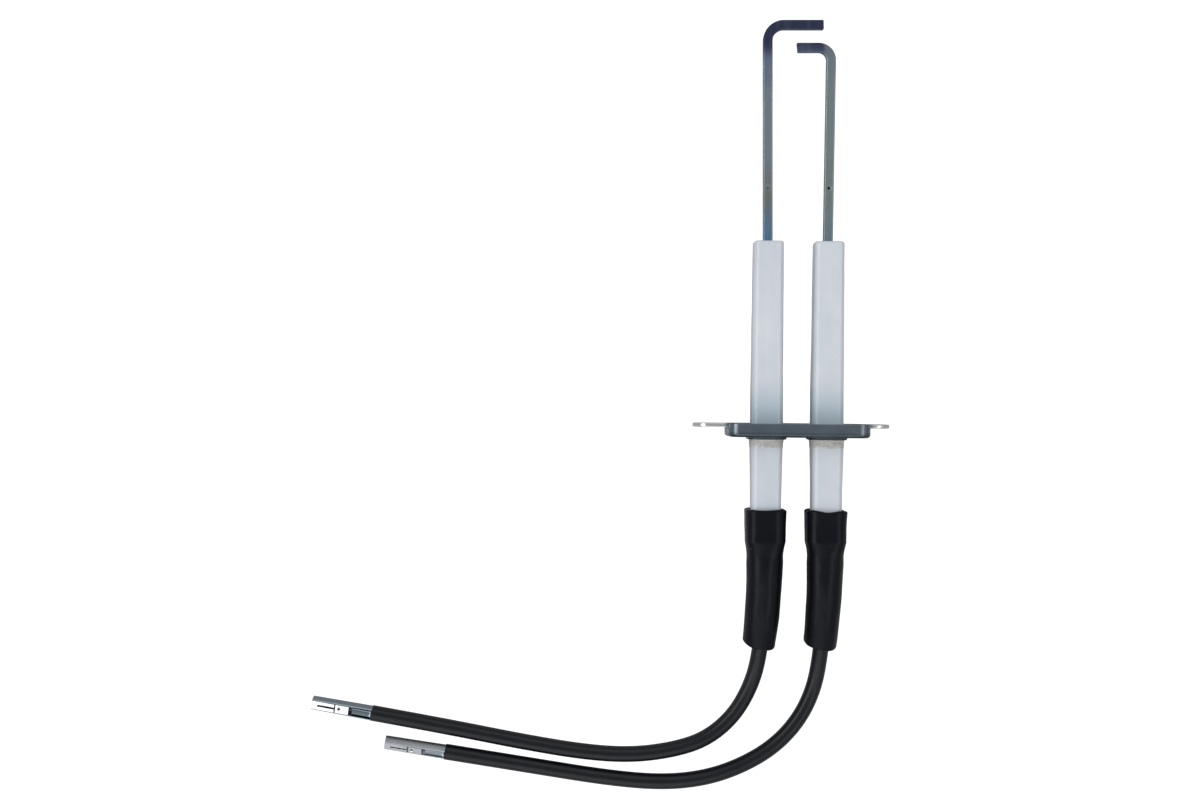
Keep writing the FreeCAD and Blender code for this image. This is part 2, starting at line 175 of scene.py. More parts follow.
class ElectrodeSizes(bpy.types.PropertyGroup):
    """Sizes of the finished surfaces, in metres."""

    sheet: length("Sheet", "Thickness of the flange's steel", 1.0)
    tray_depth: length("Tray depth", "From the flange's face to the tray's outer bottom", 3.4)
    tray_length: length("Tray length", "Between the tray's end walls, outside", 35.0)
    tray_corner: length("Tray corner", "Radius of the tray's corners", 3.0)
    tray_bend: length("Tray bend", "Outer radius from the tray's walls into its bottom", 0.9)
    ear_width: length("Ear width", "Width of both screw ears", 11.0)
    ear_corner: length("Ear corner", "Radius of the ears' free corners", 4.0)
    collar_wall: length("Collar wall", "Thickness of the collars round the insulators", 0.6)
    front_side: length("Front side", "Across flats of an insulator's front end", 7.35)
    tail_side: length("Tail side", "Across flats of the tail inside the boot", 7.45)
    taper: length("Taper", "From an insulator's widest place back to its straight tail", 11.0)
    insulator_corner: length("Insulator corner", "Radius along an insulator's four edges", 1.8)
    insulator_end: length("Insulator end", "Radius of an insulator's worn end edges", 0.55)
    glaze_wave: length("Glaze wave", "How uneven the glaze is", 0.035)
    rod_width: length("Rod width", "In the plane of the rod's bend", 2.4)
    rod_thickness: length("Rod thickness", "Across the plane of the rod's bend", 2.0)
    rod_edge: length("Rod edge", "Radius along a rod's four edges", 0.35)
    mark_above: length("Punch mark", "From the flange's face to the punch mark", 58.8)
    mark_radius: length("Punch mark radius", "Radius of the punch mark on each rod", 0.42)
    boot_wall: length("Boot wall", "Thickness of the boots' rubber", 1.1)
    boot_grip: length("Boot grip", "Length of boot on an insulator's tail", 8.1)
    boot_flare: length("Boot flare", "How far the front rim's corners stand out", 0.10)
    lead_diameter: length("Lead diameter", "Across a lead's jacket", 4.0)
    terminal_length: length("Terminal length", "From the jacket's end to the terminal's tip", 15.4)
    terminal_strip: length("Terminal strip", "Thickness of the terminals' strip", 0.28)
    left_roll: angle("Left roll", "How far the left terminal's seam is tipped towards -Y", 18.0)
    right_roll: angle("Right roll", "How far the right terminal's seam is tipped towards -Y", 42.0)


class ElectrodeColours(bpy.types.PropertyGroup):
    """Colours of the finishes."""

    zinc: colour("Zinc", "Grey passivated zinc plate", 0x717A82)
    zinc_dull: colour("Dull zinc", "Handled and stained zinc plate", 0x4E585E)
    zinc_cut: colour("Cut zinc", "Bright zinc on the ears and their sheared edges", 0xDAD9D5)
    ceramic: colour("Ceramic", "Glazed alumina", 0xC2C6CC)
    ceramic_cool: colour("Cool ceramic", "Thicker, cooler glaze", 0xB9C0C8)
    # Painted shade and reflection from the flange on the glaze.
    ceramic_flange_shade: colour("Ceramic in painted flange shade", "Glaze beside the flange", 0xA5B4BE)
    cement: colour("Cement", "Refractory cement", 0xC4C4C0)
    cement_dark: colour("Dark cement", "Damp, sooted cement", 0xA9A7A1)
    rod: colour("Rod", "Drawn iron-chromium alloy", 0x858F98)
    rod_blue: colour("Blue tint", "Heat tint near the insulator", 0x6186A3)
    rod_brown: colour("Brown tint", "Heat tint at the punch mark", 0x7F827F)
    rod_violet: colour("Violet tint", "Heat tint below the bend", 0x717A92)
    rod_green: colour("Green grey", "Cooler oxide of the shorter rod", 0x87928F)
    rod_dark: colour("Dark tint", "Heat tint of the bent arms", 0x3B3F56)
    rubber: colour("Rubber", "Black silicone rubber", 0x07090F)
    rubber_dust: colour("Rubber bloom", "Dust and bloom on the rubber", 0x14171D)
    tin: colour("Tin", "Bright tin plate", 0xE6E7E8)
    tin_grey: colour("Grey tin", "Tin plate that is rubbed grey", 0x7E898F)
    brass: colour("Brass", "Crimped brass sleeve", 0xB08D4C)
    copper: colour("Tinned copper", "Tinned copper strands", 0xB9A89A)
    backdrop: colour("Backdrop", "White board behind the object", 0xF6F6F6)
    bench: colour("Bench", "Grey bench that the object lies on", 0xBDBFC1)


# Shapes -----------------------------------------------------------------------------------------------------


def uneven(points, size, seed, waves=14):
    """Smooth unevenness of about -1 to 1: the sum of sine waves of about this length in seeded
    directions."""
    random = np.random.default_rng(seed)
    ways = random.normal(size=(3, waves))
    ways *= 2 * math.pi / (size * random.uniform(0.7, 1.6, waves) * np.linalg.norm(ways, axis=0))
    phases = random.uniform(0, 2 * math.pi, waves)
    return np.sin(points @ ways + phases).sum(-1) * 0.6 / math.sqrt(waves / 2)


def outline(low, high, corners, arc_steps=8, side_steps=14):
    """A closed outline with rounded corners: its points, and the direction that each one looks in.

    A corner's points lie on a quarter circle whose centre is one radius in from both sides, and a side's
    points are spaced evenly from one corner's arc to the next. The last point repeats the first."""
    turn = np.linspace(0, math.pi / 2, arc_steps + 1)
    arcs, looks = [], []
    for quarter, radius in enumerate(corners):
        look = np.stack([np.cos(turn + quarter * math.pi / 2), np.sin(turn + quarter * math.pi / 2)], -1)
        right, top = quarter in (0, 3), quarter in (0, 1)
        centre = (
            high[0] - radius if right else low[0] + radius,
            high[1] - radius if top else low[1] + radius,
        )
        arcs.append(np.array(centre) + radius * look)
        looks.append(look)
    slide = np.linspace(0, 1, side_steps + 1)[1:-1, None]
    points, directions = [], []
    for arc, look, following in zip(arcs, looks, arcs[1:] + arcs[:1]):
        points += [arc, arc[-1] + (following[0] - arc[-1]) * slide]
        directions += [look, np.repeat(look[-1:], side_steps - 1, axis=0)]
    points.append(arcs[0][:1])
    directions.append(looks[0][:1])
    return np.concatenate(points), np.concatenate(directions)


def square_outline(half, corner, **steps):
    return outline((-half, -half), (half, half), [corner] * 4, **steps)


def bend(outward, along, radius, start, end, steps=5):
    """Profile points on an arc about (outward, along), from one angle to another in degrees."""
    turn = np.radians(np.linspace(start, end, steps + 1))
    return np.stack([outward + radius * np.cos(turn), along + radius * np.sin(turn)], -1)


def at(outward, *along):
    """Profile points at one distance outward."""
    return np.array([(outward, y) for y in along])


def carried(points, directions, *profile):
    """An outline in X and Z carried along a profile: each profile point gives a row, moved outward along
    the outline's directions and along Y."""
    outward, along = np.concatenate(profile).T
    flat = points[None] + directions[None] * outward[:, None, None]
    return np.stack([flat[..., 0], np.repeat(along[:, None], len(points), 1), flat[..., 1]], -1)


def disc_row(points, radius, along):
    """One row on a circle, with each point in the same direction from the axis as the outline's own
    point."""
    flat = points / np.linalg.norm(points, axis=-1, keepdims=True) * radius
    return np.stack([flat[:, 0], np.full(len(flat), along), flat[:, 1]], -1)[None]


def plate(grid, thickness):
    """Grids that close a sheet about a middle surface: it is moved half the thickness both ways along its
    normals, which are the cross products of its two slopes, and strips join the four edges."""
    normal = np.cross(np.gradient(grid, axis=0), np.gradient(grid, axis=1))
    normal /= np.linalg.norm(normal, axis=-1, keepdims=True)
    upper, lower = grid + normal * thickness / 2, grid - normal * thickness / 2
    edges = [
        (upper[0], lower[0]), (upper[-1], lower[-1]),
        (upper[:, 0], lower[:, 0]), (upper[:, -1], lower[:, -1]),
    ]
    return [upper, lower] + [np.stack(edge) for edge in edges]


def make_piece(name, grids, material, slot, *nodes, crease=35.0):
    """A mesh piece from grids of points, each (rows, columns, 3), with a quad between every four
    neighbours.

    Rows and columns that repeat make seams and poles. Merging doubles closes them, and the faces are then
    turned outwards. The UV map holds each grid's distance along its rows and columns, in metres."""
    points, faces, maps, start = [], [], [], 0
    for grid in grids:
        rows, columns = grid.shape[:2]
        corner = np.arange((rows - 1) * columns).reshape(rows - 1, columns)[:, :-1]
        quads = np.stack([corner, corner + 1, corner + columns + 1, corner + columns], -1).reshape(-1, 4)
        down = np.linalg.norm(np.diff(grid, axis=0, prepend=grid[:1]), axis=-1).mean(1).cumsum()
        across = np.linalg.norm(np.diff(grid, axis=1, prepend=grid[:, :1]), axis=-1).max(0).cumsum()
        place = np.stack(np.meshgrid(down, across, indexing="ij"), -1).reshape(-1, 2)
        points.append(grid.reshape(-1, 3))
        faces.append(quads + start)
        maps.append(place[quads])
        start += rows * columns
    points, faces = np.concatenate(points), np.concatenate(faces)
    mesh = bpy.data.meshes.new(name)
    mesh.vertices.add(len(points))
    mesh.vertices.foreach_set("co", points.astype(np.float32).ravel())
    mesh.loops.add(faces.size)
    mesh.loops.foreach_set("vertex_index", faces.astype(np.int32).ravel())
    mesh.polygons.add(len(faces))
    mesh.polygons.foreach_set("loop_start", np.arange(0, faces.size, 4, dtype=np.int32))
    mesh.update(calc_edges=True)
    mesh.uv_layers.new(name="surface").data.foreach_set("uv", np.concatenate(maps).astype(np.float32).ravel())
    shape = bmesh.new()
    shape.from_mesh(mesh)
    bmesh.ops.remove_doubles(shape, verts=shape.verts, dist=0.002 * MM)
    bmesh.ops.recalc_face_normals(shape, faces=shape.faces)
    shape.to_mesh(mesh)
    shape.free()
    mesh.shade_smooth()
    mesh.set_sharp_from_angle(angle=math.radians(crease))
    piece = bpy.data.objects.new(name, mesh)
    bpy.context.scene.collection.objects.link(piece)
    return settle(piece, material, slot, *nodes)


def settle(piece, material, slot, *nodes):
    """Gives a piece its material and its body, and hides the CAD nodes that it stands for."""
    piece.data.materials.append(material)
    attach(piece, "root")
    if nodes:
        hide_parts(*nodes)
    return piece


def soften(piece, width, segments=2):
    """A small bevel on every sharp edge, as a press tool or a cut leaves it."""
    bevel = piece.modifiers.new("soft edges", "BEVEL")
    bevel.width, bevel.segments, bevel.limit_method = width, segments, "ANGLE"
    bevel.angle_limit = math.radians(40)
    bevel.harden_normals = True


def span(node):
    """A CAD node's lowest and highest corners, as arrays."""
    low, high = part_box(node)
    return np.array(low), np.array(high)


# Materials --------------------------------------------------------------------------------------------------


def add_node(tree, kind, inputs=(), stops=(), **settings):
    """Adds a shader node. settings are its own properties, inputs gives each input a value or the node or
    socket that feeds it, and stops are a ramp's positions and colours."""
    node = tree.nodes.new("ShaderNode" + kind)
    for name, value in settings.items():
        setattr(node, name, value)
    if stops:
        ramp = node.color_ramp.elements
        ramp.remove(ramp[1])
        ramp[0].position, ramp[0].color = stops[0]
        for position, shade in stops[1:]:
            ramp.new(position).color = shade
    for name, value in dict(inputs).items():
        if isinstance(value, bpy.types.Node):
            value = value.outputs[0]
        if isinstance(value, bpy.types.NodeSocket):
            tree.links.new(value, node.inputs[name])
        else:
            node.inputs[name].default_value = value
    return node


def start_material(name, **constants):
    """A material with a Principled shader, its constants set on the shader's own sockets, and its place
    socket."""
    material = bpy.data.materials.new(name)
    material.use_nodes = True
    tree = material.node_tree
    tree.nodes.clear()
    sockets = {key.replace("_", " "): value for key, value in constants.items()}
    shader = add_node(tree, "BsdfPrincipled", sockets)
    add_node(tree, "OutputMaterial", {"Surface": shader})
    return material, tree, shader, add_node(tree, "TexCoord").outputs["Object"]


def coordinate(tree, place, axis):
    """One coordinate of a place."""
    return add_node(tree, "SeparateXYZ", {"Vector": place}).outputs[axis]


def graded(tree, value, start, end, low=0.0, high=1.0, **settings):
    """Low where the value is at start, high where it is at end, even in between and level outside them."""
    inputs = {"Value": value, "From Min": start, "From Max": end, "To Min": low, "To Max": high}
    return add_node(tree, "MapRange", inputs, **settings)


def patches(tree, place, size, low, high, top=1.0, stretch=(1, 1, 1), detail=4.0):
    """Noise patches of a real size: 0 where the noise is under low, rising to top at high."""
    spot = add_node(tree, "Mapping", {"Vector": place, "Scale": stretch})
    noise = add_node(tree, "TexNoise", {"Vector": spot, "Scale": 1 / size, "Detail": detail, "Roughness": 0.6})
    return graded(tree, noise, low, high, 0.0, top)


def tinted(tree, base, shade, share):
    """The base colour with some of another, where share is more than nothing."""
    mix = add_node(tree, "Mix", {0: share, 6: base, 7: shade}, data_type="RGBA")
    return mix.outputs[2]


def relief(tree, height, distance, normal=None):
    """Bump of a real height, on top of an earlier one."""
    inputs = {"Height": height, "Distance": distance, "Strength": 1.0}
    if normal is not None:
        inputs["Normal"] = normal
    return add_node(tree, "Bump", inputs)


def wire_up(tree, shader, base, roughness, normal):
    for name, source in (("Base Color", base), ("Roughness", roughness), ("Normal", normal)):
        tree.links.new(source.outputs[0] if isinstance(source, bpy.types.Node) else source, shader.inputs[name])


def rough_between(tree, share, low, high):
    return graded(tree, share, 0.0, 1.0, low, high)


def zinc_plated_steel(colours):
    """Mild steel, deep drawn, then zinc plated and grey passivated: a satin grey with cloudy stains,
    drawing scratches down the walls, a fine crystal grain, brighter zinc on the ears, and painted shade
    that darkens the tray from its bottom bend down, over the bottom and the collars."""
    material, tree, shader, place = start_material("zinc_plated_drawn_steel", Metallic=1.0)
    cloud = patches(tree, place, 5 * MM, 0.38, 0.72, top=0.5)
    stain = patches(tree, place, 1.4 * MM, 0.55, 0.75, top=0.3)
    scratch = patches(tree, place, 0.35 * MM, 0.45, 0.7, stretch=(1, 0.08, 1))
    grain = patches(tree, place, 0.12 * MM, 0.3, 0.7, detail=2.0)
    base = tinted(tree, colours.zinc, colours.zinc_dull, cloud)
    base = tinted(tree, base, ZINC_STAIN, stain)
    aside = add_node(tree, "Math", {0: coordinate(tree, place, "X")}, operation="ABSOLUTE")
    ear = graded(tree, aside, 17.5 * MM, 18.6 * MM, high=0.8)
    base = tinted(tree, base, colours.zinc_cut, ear)
    # Painted shade: darker from the tray's bottom bend down, over its bottom and the collars.
    drawn = graded(tree, coordinate(tree, place, "Y"), -2.0 * MM, -3.0 * MM, high=0.8)
    base = tinted(tree, base, ZINC_PAINTED_SHADE, drawn)
    rough = rough_between(tree, cloud, 0.22, 0.34)
    normal = relief(tree, grain, 0.004 * MM, relief(tree, scratch, 0.006 * MM))
    wire_up(tree, shader, base, rough, normal)
    return material


def glazed_alumina(colours):
    """Extruded alumina with a thin clear glaze: cool white and glossy, faint streaks along the extrusion,
    pale grey specks under the glaze, and bluish painted shade and reflection from the flange on both sides
    of its cement."""
    material, tree, shader, place = start_material(
        "glazed_extruded_alumina", IOR=1.52, Coat_Weight=0.25, Coat_Roughness=0.22, Coat_IOR=1.5
    )
    streak = patches(tree, place, 1.6 * MM, 0.35, 0.75, top=0.8, stretch=(1, 0.06, 1))
    cloud = patches(tree, place, 9 * MM, 0.35, 0.7, top=0.6)
    speck = patches(tree, place, 0.35 * MM, 0.74, 0.80, top=0.2, detail=1.0)
    height = coordinate(tree, place, "Y")
    # Painted shade and reflection from the flange: bluish grey rising from 13 mm in front of the flange's face,
    # full down to 3 mm behind it and faint further back.
    flange_front = graded(tree, height, 13 * MM, 0.0, interpolation_type="SMOOTHSTEP")
    behind = graded(tree, height, -3 * MM, -4 * MM, 1.0, 0.12)
    flange_shade = add_node(tree, "Math", {0: flange_front, 1: behind}, operation="MULTIPLY")
    base = tinted(tree, colours.ceramic, colours.ceramic_cool, streak)
    base = tinted(tree, base, GLAZE_PALE, cloud)
    base = tinted(tree, base, colours.ceramic_flange_shade, flange_shade)
    base = tinted(tree, base, GLAZE_SPECK, speck)
    rough = rough_between(tree, cloud, 0.28, 0.38)
    lines = patches(tree, place, 0.8 * MM, 0.3, 0.7, stretch=(1, 0.05, 1))
    peel = patches(tree, place, 1.5 * MM, 0.3, 0.7, detail=1.0)
    normal = relief(tree, peel, 0.006 * MM, relief(tree, lines, 0.004 * MM))
    wire_up(tree, shader, base, rough, normal)
    return material


def refractory_cement(colours):
    """Air-setting refractory cement, smeared in by hand: matt pale grey, gritty, with brownish and pale
    grains."""
    material, tree, shader, place = start_material("refractory_cement", IOR=1.5, Specular_IOR_Level=0.25)
    cloud = patches(tree, place, 2.5 * MM, 0.35, 0.7)
    dark_grit = patches(tree, place, 0.25 * MM, 0.55, 0.65, detail=2.0)
    pale_grit = patches(tree, place, 0.18 * MM, 0.62, 0.7, top=0.7, detail=2.0)
    base = tinted(tree, colours.cement, colours.cement_dark, cloud)
    base = tinted(tree, base, CEMENT_DARK_GRIT, dark_grit)
    base = tinted(tree, base, CEMENT_PALE_GRIT, pale_grit)
    rough = rough_between(tree, cloud, 0.8, 0.95)
    normal = relief(tree, dark_grit, 0.05 * MM, relief(tree, cloud, 0.08 * MM))
    wire_up(tree, shader, base, rough, normal)
    return material


def heat_tinted_rod(sizes, colours):
    """Iron-chromium-aluminium wire, drawn flat and then fired: a grey oxide with drawing lines along the
    rod, blue near the insulator, brownish at the punch mark, violet below the bend and dark indigo on the
    bent arm. The punch marks are darkened, and the shorter rod is greener."""
    material, tree, shader, place = start_material("heat_tinted_drawn_alloy", Metallic=1.0)
    along = coordinate(tree, place, "Y")
    drift = patches(tree, place, 7 * MM, 0.0, 1.0, top=9 * MM)
    height = add_node(tree, "Math", {0: along, 1: drift}, operation="ADD")
    ladder = graded(tree, height, 40 * MM, 110 * MM)
    heat = add_node(tree, "ValToRGB", {"Fac": ladder}, stops=[
        (0.0, colours.rod_blue), (0.16, colours.rod_blue), (0.30, colours.rod_brown), (0.45, colours.rod),
        (0.66, colours.rod), (0.78, colours.rod_violet), (0.86, colours.rod_dark), (1.0, colours.rod_dark),
    ])
    shorter = graded(tree, coordinate(tree, place, "X"), 5.5 * MM, 6.5 * MM, high=0.65)
    tint = tinted(tree, heat.outputs[0], colours.rod_green, shorter)
    worn = add_node(tree, "UVMap", uv_map="surface")
    lines = patches(tree, worn, 0.22 * MM, 0.35, 0.7, stretch=(0.02, 1, 1), detail=3.0)
    fleck = patches(tree, place, 1.6 * MM, 0.5, 0.8, top=0.10, stretch=(1, 0.3, 1))
    pit = patches(tree, place, 0.3 * MM, 0.68, 0.78, top=0.5, detail=2.0)
    base = tinted(tree, tint, ROD_FLECK, fleck)
    base = tinted(tree, base, ROD_PIT, pit)
    # The punch marks are darkened, more on the right rod than on the left.
    for side, share in (("left", 0.5), ("right", 0.95)):
        mark = (ROUTES[side][0][0], sizes.mark_above, sizes.rod_thickness / 2)
        away = add_node(tree, "VectorMath", {0: place, 1: mark}, operation="DISTANCE").outputs["Value"]
        base = tinted(tree, base, PUNCH_MARK_DARK, graded(tree, away, 0.30 * MM, 0.55 * MM, share, 0.0))
    rough = rough_between(tree, lines, 0.30, 0.42)
    normal = relief(tree, pit, -0.006 * MM, relief(tree, lines, 0.005 * MM))
    wire_up(tree, shader, base, rough, normal)
    return material


def silicone_rubber(colours, name, grain_size, stretch, gloss, shine):
    """Black silicone rubber: deep black and satin, with a faint bloom, a fine grain and a few pale
    specks."""
    material, tree, shader, place = start_material(name, IOR=1.41, Specular_IOR_Level=shine)
    bloom = patches(tree, place, 6 * MM, 0.4, 0.75, top=0.25)
    dust = patches(tree, place, 0.5 * MM, 0.66, 0.8, top=0.25)
    speck = patches(tree, place, 0.8 * MM, 0.83, 0.85, top=0.5, detail=1.0)
    grain = patches(tree, place, grain_size, 0.3, 0.7, stretch=stretch, detail=2.0)
    ripple = patches(tree, place, 2.2 * MM, 0.3, 0.7, detail=1.0)
    base = tinted(tree, colours.rubber, colours.rubber_dust, bloom)
    base = tinted(tree, base, colours.rubber_dust, dust)
    base = tinted(tree, base, RUBBER_SPECK, speck)
    rough = rough_between(tree, bloom, gloss, gloss + 0.10)
    normal = relief(tree, grain, 0.004 * MM, relief(tree, ripple, 0.015 * MM))
    wire_up(tree, shader, base, rough, normal)
    return material


def moulded_silicone(colours):
    """Compression-moulded silicone rubber, with the mould's fine matt texture all over."""
    return silicone_rubber(colours, "moulded_silicone_rubber", 0.18 * MM, (1, 1, 1), 0.30, 0.17)


def extruded_silicone(colours):
    """Extruded silicone lead insulation, smoother and a little glossier than a moulding."""
    return silicone_rubber(colours, "extruded_silicone_rubber", 0.4 * MM, (0.3, 1, 1), 0.30, 0.40)


def tin_plate(colours, name, shade):
    """Brass strip, stamped, folded and bright tin plated: white metal with grey rubbed patches, die
    scratches and tiny dents. The crimp has its own greyer shade, and the folded walls have painted shade,
    darker on the left terminal than on the right."""
    material, tree, shader, place = start_material(name, Metallic=1.0)
    rubbed = patches(tree, place, 1.8 * MM, 0.5, 0.8, top=0.4)
    scratch = patches(tree, place, 0.15 * MM, 0.5, 0.72, stretch=(0.08, 1, 1))
    dent = patches(tree, place, 0.7 * MM, 0.3, 0.7, detail=1.0)
    base = tinted(tree, shade, colours.tin_grey, rubbed)
    rough = rough_between(tree, rubbed, 0.22, 0.38)
    normal = relief(tree, scratch, 0.001 * MM, relief(tree, dent, 0.003 * MM))
    wire_up(tree, shader, base, rough, normal)
    return material


def crimped_brass(colours):
    """Plain brass sleeve: warm yellow metal with dull brown patches and turning marks round it."""
    material, tree, shader, place = start_material("turned_brass", Metallic=1.0)
    dull = patches(tree, place, 1.5 * MM, 0.4, 0.7, top=0.8)
    turning = patches(tree, place, 0.2 * MM, 0.35, 0.65, stretch=(0.05, 1, 0.05))
    base = tinted(tree, colours.brass, BRASS_DULL, dull)
    rough = rough_between(tree, dull, 0.25, 0.45)
    wire_up(tree, shader, base, rough, relief(tree, turning, 0.008 * MM))
    return material


def tinned_strands(colours):
    """Tinned copper strands, 0.2 mm each, laid up with a slight twist: pale metal with dark gaps between
    them."""
    material, tree, shader, place = start_material("tinned_copper_strands", Metallic=1.0)
    twist = add_node(tree, "Mapping", {"Vector": place, "Rotation": (0.0, 0.0, math.radians(20))})
    wave = add_node(
        tree, "TexWave", {"Vector": twist, "Scale": 0.314 / (0.2 * MM), "Distortion": 0.4}, wave_profile="SIN"
    )
    oxide = patches(tree, place, 0.8 * MM, 0.4, 0.7, top=0.6)
    base = tinted(tree, colours.copper, COPPER_OXIDE, oxide)
    rough = rough_between(tree, oxide, 0.25, 0.4)
    wire_up(tree, shader, base, rough, relief(tree, wave.outputs["Fac"], 0.05 * MM))
    return material


def board_finish(name, shade, glow):
    """Matt paint rolled on a board, almost even, with a faint stipple. glow is how much light it gives
    itself."""
    material, tree, shader, place = start_material(
        name, IOR=1.45, Specular_IOR_Level=0.15, Emission_Color=WHITE, Emission_Strength=glow
    )
    stipple = patches(tree, place, 1.5 * MM, 0.3, 0.7)
    cloud = patches(tree, place, 150 * MM, 0.3, 0.7, top=0.5)
    base = tinted(tree, shade, tuple(0.94 * v for v in shade[:3]) + (1.0,), cloud)
    rough = rough_between(tree, stipple, 0.8, 0.9)
    wire_up(tree, shader, base, rough, relief(tree, stipple, 0.005 * MM))
    return material


# Pieces -----------------------------------------------------------------------------------------------------


def half_tray(sizes, half_length, half_width):
    """The outline of the tray's half on the +X side of its middle. Where it crosses the middle, its
    directions only stretch it along Z, so that the two halves always meet."""
    points, looks = outline(
        (0, -half_width), (half_length, half_width), [sizes.tray_corner, 0, 0, sizes.tray_corner]
    )
    middle = points[:, 0] < 1e-9
    looks[middle] = np.stack([np.zeros(middle.sum()), points[middle, 1] / half_width], -1)
    return points, looks, middle


def flange_grids(sizes):
    """The pressed tray: a closed wall profile carried round the tray's outline, and for each half a floor
    that runs from the collar's lip, up its wall and out to the tray's walls. The ears are rings round their
    holes."""
    low, high = span("mounting_flange")
    lip, half_width = low[1], (high[2] - low[2]) / 2
    half_length, sheet, depth = sizes.tray_length / 2, sizes.sheet, sizes.tray_depth
    insulator_low, insulator_high = span("insulator_right")
    collar_x = (insulator_low[0] + insulator_high[0]) / 2
    collar_low, collar_high = span("collar_cement_right")
    collar_half = (collar_high[0] - collar_low[0]) / 2 + sizes.collar_wall
    collar_corner = sizes.insulator_corner + sizes.collar_wall + 0.25 * MM
    wall, edge, inner_bend = sizes.collar_wall, 0.16 * MM, 0.5 * MM

    points, looks, middle = half_tray(sizes, half_length, half_width)
    collar, collar_looks = square_outline(collar_half, collar_corner)
    collar = collar + (collar_x, 0)
    floor_top, floor_bottom = -(depth - sheet), -depth
    over = carried(
        collar, collar_looks, at(-wall, lip + edge), at(-wall, floor_top - 0.4 * MM),
        bend(-wall + 0.4 * MM, floor_top - 0.4 * MM, 0.4 * MM, 180, 90),
    )
    under = carried(
        collar, collar_looks, at(0, lip + edge), at(0, floor_bottom - 0.3 * MM),
        bend(0.5 * MM, floor_bottom - 0.5 * MM, 0.5 * MM, 180, 90)[1:],
    )
    lip_rim = carried(
        collar, collar_looks, at(-wall, lip + edge), bend(-wall + edge, lip + edge, edge, 180, 270, 3),
        bend(-edge, lip + edge, edge, 270, 360, 3),
    )
    wall_top = carried(points, looks, at(-sheet - inner_bend, floor_top))[0]
    wall_bottom = carried(points, looks, at(-sizes.tray_bend, floor_bottom))[0]
    share = np.linspace(0, 1, 12)[1:, None, None]
    half = [
        np.concatenate([over, over[-1] * (1 - share) + wall_top * share]),
        np.concatenate([under, under[-1] * (1 - share) + wall_bottom * share]),
        lip_rim,
    ]
    first, last = np.flatnonzero(middle)[[-1, 0]]
    round_wall = np.r_[np.arange(first, len(points)), np.arange(1, last + 1)]
    walls = carried(
        points[round_wall], looks[round_wall],
        bend(-sheet - inner_bend, floor_top + inner_bend, inner_bend, 270, 360),
        bend(-sheet + edge, -edge, edge, 180, 90, 3), bend(-edge, -edge, edge, 90, 0, 3),
        bend(-sizes.tray_bend, floor_bottom + sizes.tray_bend, sizes.tray_bend, 0, -90, 8),
    )
    grids = [grid * (way, 1, 1) for grid in (*half, walls) for way in (1, -1)]
    return grids + [
        ear_grid(sizes, side, end, half_length - 0.4 * MM) for side, end in ((-1, -low[0]), (1, high[0]))
    ]


def ear_grid(sizes, way, reach, start):
    """One screw ear: a closed ring about its hole, with soft punched edges, from inside the tray's wall out
    to the ear's rounded end."""
    holes = next(m for m in frame["record"]["mounts"] if m["name"] == "screw_holes")
    middle, spacing = holes["pos_m"][0], holes["dims"]["spacing_x_mm"] * MM
    hole_r, hole_x = holes["dims"]["hole_r_mm"] * MM, way * middle + spacing / 2
    half, corner, edge = sizes.ear_width / 2, sizes.ear_corner, 0.2 * MM
    points, looks = outline((start, -half), (reach, half), [corner, 0, 0, corner])
    from_hole = (points - (hole_x, 0)) / np.linalg.norm(points - (hole_x, 0), axis=-1, keepdims=True)
    hole = from_hole * hole_r + (hole_x, 0)
    bottom = -sizes.sheet
    rows = [
        carried(hole, from_hole, bend(edge, -edge, edge, 180, 90, 3)),
        carried(points, looks, bend(-edge, -edge, edge, 90, 0, 3), bend(-edge, bottom + edge, edge, 0, -90, 3)),
        carried(hole, from_hole, bend(edge, bottom + edge, edge, 270, 180, 3)),
    ]
    grid = np.concatenate(rows)
    return np.concatenate([grid, grid[:1]]) * (way, 1, 1)


def insulator_half(sizes, node, along):
    """Half the insulator's width at each place along it: widest just below the collar, and tapering both
    ways."""
    low, high = span(node)
    waist = span("mounting_flange")[0][1] - 1.0 * MM
    stations = [low[1], waist - sizes.taper, waist, high[1]]
    halves = [sizes.tail_side / 2, sizes.tail_side / 2, (high[0] - low[0]) / 2, sizes.front_side / 2]
    return np.interp(along, stations, halves)


